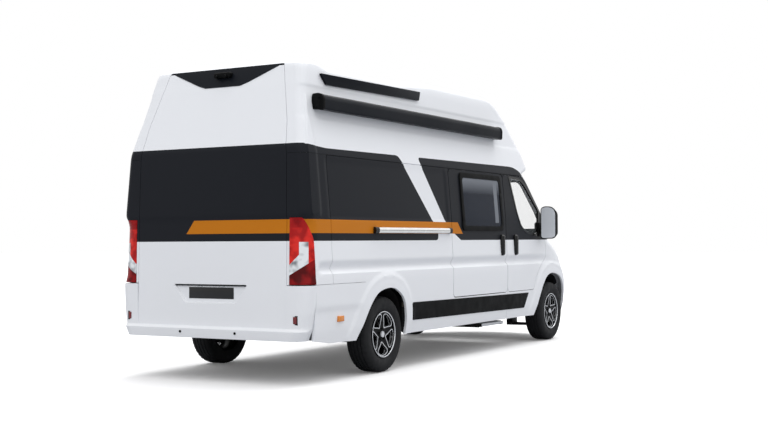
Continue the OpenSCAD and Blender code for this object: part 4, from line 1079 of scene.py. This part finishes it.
def makeRim(cfg):
    # returns the dark parts and the machined parts, outer face towards +x
    outer = 0.088
    barrel = turned([(0.1, 0.2175), (0.103, 0.212), (0.096, 0.207), (0.07, 0.2), (0.02, 0.192),
                     (-0.07, 0.195), (-0.098, 0.212),
                     (-0.1, 0.2175), (-0.075, 0.2), (0.02, 0.198), (0.078, 0.204)], 96)
    lip = turned([(0.1, 0.2025), (0.1045, 0.2045), (0.1045, 0.2115), (0.1, 0.213)], 96)
    face = newObject("rimFace", turned([(outer, 0.206), (outer - 0.003, 0.15), (outer - 0.012, 0.075),
                                        (outer - 0.006, 0.055), (outer - 0.006, 0.018),
                                        (outer - 0.05, 0.018), (outer - 0.045, 0.06), (outer - 0.026, 0.15),
                                        (outer - 0.022, 0.206)], 96, True))
    edges = newObject("rimEdges", turned([(outer + 0.0025, 0.207), (outer - 0.0005, 0.15),
                                          (outer - 0.0095, 0.075), (outer - 0.0095, 0.05),
                                          (outer - 0.03, 0.05), (outer - 0.03, 0.207)], 96, True))
    outline = [(0.0, 0.072), (0.025, 0.098), (0.081, 0.146), (0.08, 0.166), (0.046, 0.186), (0.0, 0.192),
               (-0.046, 0.186),
               (-0.08, 0.166), (-0.081, 0.146), (-0.025, 0.098)]
    tools, grown, inner = [], [], []
    for k in range(cfg["windows"]):
        turn = Matrix.Rotation(math.tau * (k + 0.5) / cfg["windows"], 4, "X")
        for group, by in ((tools, 0.0), (grown, -0.007), (inner, 0.0)):
            group.append(moved(prism(inset(outline, by), "x", -0.02, 0.2, [0.012, 0, 0.008, 0.01, 0, 0, 0,
                    0.01, 0.008, 0], 4), turn))
    carve(face, tools)
    ring = joined("ringTool", grown, None)
    subtract(edges, ring, "INTERSECT")
    carve(edges, inner)
    hub = [rod((outer - 0.012, 0, 0), (outer + 0.004, 0, 0), 0.031, 40, 0.027)]
    bolts = []
    for k in range(5):
        a = math.tau * k / 5
        y, z = 0.052 * math.sin(a), 0.052 * math.cos(a)
        bolts.append(rod((outer - 0.012, y, z), (outer + 0.003, y, z), 0.0095, 6))
    return face, edges, barrel, lip, hub, bolts


def placeWheels(cfg):
    face, edges, barrel, lip, hub, bolts = makeRim(cfg)
    tyre = makeTyre(cfg)
    tyreMesh, discs = newObject("tyre", tyre), newObject("disc",
            turned([(0.02, 0.0), (0.02, 0.15), (-0.006, 0.15), (-0.006, 0.0)], 72, False))
    darks, brights = joined("darks", [barrel] + bolts, None), joined("brights", [lip] + hub, None)
    for where, x, y in (("front", 0.905, frontAxle), ("rear", 0.895, rearAxle)):
        for side, word in ((1, "left"), (-1, "right")):
            place = Matrix.Translation((side * x, y, axleHeight)) @ Matrix.Diagonal((side, 1, 1, 1))
            rides = "wheel_%s_%s" % (where, word)
            for kind, sources, material, slot, node in (("Tyre", [tyreMesh], "tyre", "tyre", "tyre"),
                                                        ("Rim", [face, darks], "rimBlack", "alloy", "rim"),
                                                        ("RimEdges", [edges, brights], "silver", "alloy", None),
                                                        ("Disc", [discs], "disc", "alloy", None)):
                bm = bmesh.new()
                for source in sources:
                    bm.from_mesh(source.data)
                moved(bm, place)
                mount(newObject(where + word.capitalize() + kind, bm, material), rides, slot,
                      ["%s_%s_%s" % (node, where, word)] if node else (), angle=35)
    for spare in (face, edges, darks, brights, tyreMesh, discs):
        bpy.data.objects.remove(spare)


placeWheels(wheel)
print("wheels made")

# cab: seats with padded cushions, steering wheel
seat = {"x": 0.48, "half": 0.24, "front": -1.327, "back": -0.80, "cushion": (0.82, 0.99), "top": 1.55}


def cushion(low, high, lean=0.0, puff=0.018):
    # crowned pad, its sides drawn in between the corners, with two channels pressed along it
    bm = bmesh.new()
    bmesh.ops.create_cube(bm, size=1)
    size, centre = Vector(high) - Vector(low), (Vector(low) + Vector(high)) / 2
    bmesh.ops.subdivide_edges(bm, edges=bm.edges, cuts=11, use_grid_fill=True)
    for vert in bm.verts:
        u, v, w = (2 * c for c in vert.co)
        crown = (1 - u * u) * (1 - v * v)
        side = (1 - w * w)
        channel = 0.006 * math.exp(-((abs(u) - 0.55) / 0.06) ** 2)
        vert.co.x = vert.co.x * size.x * (1 - 0.05 * side * (1 - abs(v)) + 0.03 * side)
        vert.co.y = vert.co.y * size.y * (1 - 0.05 * side * (1 - abs(u)) + 0.03 * side)
        vert.co.z = vert.co.z * size.z * (1 - 0.12 * max(abs(u),
                abs(v)) ** 6) + math.copysign(puff * crown - channel * crown, w)
    return moved(bm, Matrix.Translation(centre) @ Matrix.Rotation(lean, 4, "X"))


def makeSeats(cfg):
    low, high = cfg["cushion"]
    for side, word in ((1, "Left"), (-1, "Right")):
        x = side * cfg["x"]
        parts = {"Seat": cushion((x - cfg["half"], cfg["front"], low), (x + cfg["half"], cfg["back"],
                high - 0.02)),
                 "Back": cushion((x - cfg["half"] + 0.02, -0.84, high - 0.02), (x + cfg["half"] - 0.02, -0.72,
                         cfg["top"]), -0.12),
                 "Head": cushion((x - 0.13, -0.78, cfg["top"] + 0.03), (x + 0.13, -0.69, cfg["top"] + 0.22),
                                 -0.1, 0.01)}
        for kind, bm in parts.items():
            piece = newObject("cab" + kind + word, bm, "fabric")
            mount(piece, "body", "seat_fabric", ["cab_seats"] if side > 0 and kind == "Seat" else (), sub=1,
                  angle=60)
        base = [softBox((x - 0.2, -1.25, 0.622), (x + 0.2, -0.84, 0.83), 0.02),
                rod((x - 0.06, -0.75, cfg["top"] - 0.03), (x - 0.06, -0.735, cfg["top"] + 0.08), 0.007, 12),
                rod((x + 0.06, -0.75, cfg["top"] - 0.03), (x + 0.06, -0.735, cfg["top"] + 0.08), 0.007, 12)]
        mount(joined("seatBase" + word, base, "dash"), "body", "black_plastic")


makeSeats(seat)


def makeSteeringWheel():
    centre, axis = Vector((0.430, -1.4026, 1.2020)), Vector((0, 0.615661, 0.788011))
    ring = [(0.014 * math.cos(a), 0.172 + 0.014 * math.sin(a)) for a in [math.tau * k / 14 for k in range(14)]]
    rim = turned(ring, 64)
    parts = [rim, rod((-0.03, 0, 0), (0.012, 0, 0), 0.055, 32, 0.05)]
    for a in (90, 200, 340):
        d = Vector((0, math.cos(math.radians(a)), math.sin(math.radians(a))))
        parts.append(rod(d * 0.04 + Vector((-0.01, 0, 0)), d * 0.17, 0.016, 12, 0.01))
    piece = joined("handWheel", parts, "dash")
    piece.data.transform(Matrix.Translation(centre) @ axis.to_track_quat("X", "Z").to_matrix().to_4x4())
    mount(piece, "hand_wheel", "black_plastic", ["steering_wheel"])


makeSteeringWheel()
print("cab fittings made")

# nose: lamps, grille bars, lower grille
shells["front"] = shellBetween("front", -0.003, 0.05, low=0.3, thin=2, high=1.2)
for side, word in ((1, "Left"), (-1, "Right")):
    outline = [(side * x, z) for x, z in lampFront]
    panel("headlamp" + word, "body", "lens", [prism(inset(outline, gap * 1.3), "y", -far, -2.55, 0.028)],
          source="front",
          slot="lamp_clear", nodes=["headlights"] if side > 0 else ())
    bowls = [turned([(0.0, 0.0), (0.012, 0.05), (0.03, 0.062), (0.036, 0.064), (0.03, 0.066), (0.006, 0.054),
                     (-0.006, 0.0)], 40, False)]
    bowl = joined("headlampBowl" + word, bowls, "silver")
    bowl.data.transform(Matrix.Translation((side * 0.80, -2.80, 0.975)) @ Matrix.Rotation(math.radians(-90),
            4, "Z"))
    mount(bowl, "body", "lamp_clear")
panel("grilleBars", "body", "anthracite", [box((-0.61, -far, 0.82), (0.61, -2.6, 0.95))],
      [box((-0.62, -far, z), (0.62, -2.6, z + 0.026)) for z in (0.848, 0.893)], source="front",
      slot="black_plastic")
panel("lowerGrille", "body", "black", [prism([(-0.63, 0.35), (0.63, 0.35), (0.71, 0.58), (-0.71, 0.58)], "y",
                                             -far, -2.6, 0.04)],
      [box((-0.6, -far, z), (0.6, -3.06, z + 0.018)) for z in (0.385, 0.415, 0.445, 0.475, 0.505)],
      source="glass",
      slot="black_plastic")

# stage: pale floor that keeps the shadow, bright surroundings for gloss and glass
stage = {"floor": "#f4f4f5", "shade": "#9fa1a6", "size": 90, "horizon": 0.5, "zenith": 1.25, "lift": 0.09}


def makeStage(cfg):
    bm = bmesh.new()
    bmesh.ops.create_grid(bm, x_segments=1, y_segments=1, size=cfg["size"])
    floor = newObject("floor", bm)
    material = bpy.data.materials.new("studioFloor")
    material.use_nodes = True
    nodes = material.node_tree
    seen = addNode(nodes, "LightPath", take="Is Camera Ray")
    tone = addNode(nodes, "Mix", named={0: seen, 6: hexColor(cfg["shade"]), 7: hexColor(cfg["floor"])},
                   take=2, data_type="RGBA")
    nodes.links.new(tone, nodes.nodes["Principled BSDF"].inputs["Base Color"])
    nodes.nodes["Principled BSDF"].inputs["Roughness"].default_value = 0.9
    nodes.nodes["Principled BSDF"].inputs["Emission Color"].default_value = (1, 1, 1, 1)
    nodes.links.new(addNode(nodes, "Math", seen, cfg["lift"], operation="MULTIPLY"),
                    nodes.nodes["Principled BSDF"].inputs["Emission Strength"])
    floor.data.materials.append(material)
    world = bpy.data.worlds.new("studio")
    world.use_nodes = True
    scene.world = world
    tree = world.node_tree
    back = tree.nodes["Background"]
    path = addNode(tree, "LightPath", take=None)
    direct = addNode(tree, "Math", path["Is Camera Ray"], path["Is Transmission Ray"], operation="MAXIMUM")
    split = addNode(tree, "SeparateXYZ", addNode(tree, "TexCoord", take="Generated"), take=None)
    sky = addNode(tree, "MapRange", split[2], -0.1, 0.75, cfg["horizon"], cfg["zenith"], take=None)
    tree.links.new(addNode(tree, "Mix", named={0: direct, 2: sky[0], 3: 1.0}), back.inputs["Strength"])
    back.inputs["Color"].default_value = (1, 1, 1, 1)


def addLamp(name, place, target, spread, strength):
    data = bpy.data.lights.new(name, "SUN")
    data.angle, data.energy = math.radians(spread), strength
    lamp = bpy.data.objects.new(name, data)
    lamp.matrix_world = Matrix.Translation(place) @ (Vector(target) - Vector(place)).to_track_quat("-Z",
            "Y").to_matrix().to_4x4()
    scene.collection.objects.link(lamp)


makeStage(stage)
addLamp("keyAbove", (0.3, -6.0, 10.0), (0, 0, 0), 50, 1.85)
addLamp("fillRight", (-6.0, 9.0, 4.5), (0, 0, 1.2), 90, 0.4)
scene.view_settings.view_transform = "Standard"
print("stage lit")

for tool in shells.values():
    bpy.data.objects.remove(tool)
for name, material in (("chassis_frame", "frame"), ("floor_pan", "floor"), ("door_pillars", "lining"),
                       ("wheel_housings", "felt"),
                       ("engine", "cast"), ("fuel_tank", "black"), ("exhaust", "steel"), ("rear_axle", "frame"),
                       ("leaf_springs", "frame"), ("knuckle_left", "cast"), ("knuckle_right", "cast"),
                       ("dashboard", "dash")):
    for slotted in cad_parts[name].material_slots:
        slotted.material = finishes[material]
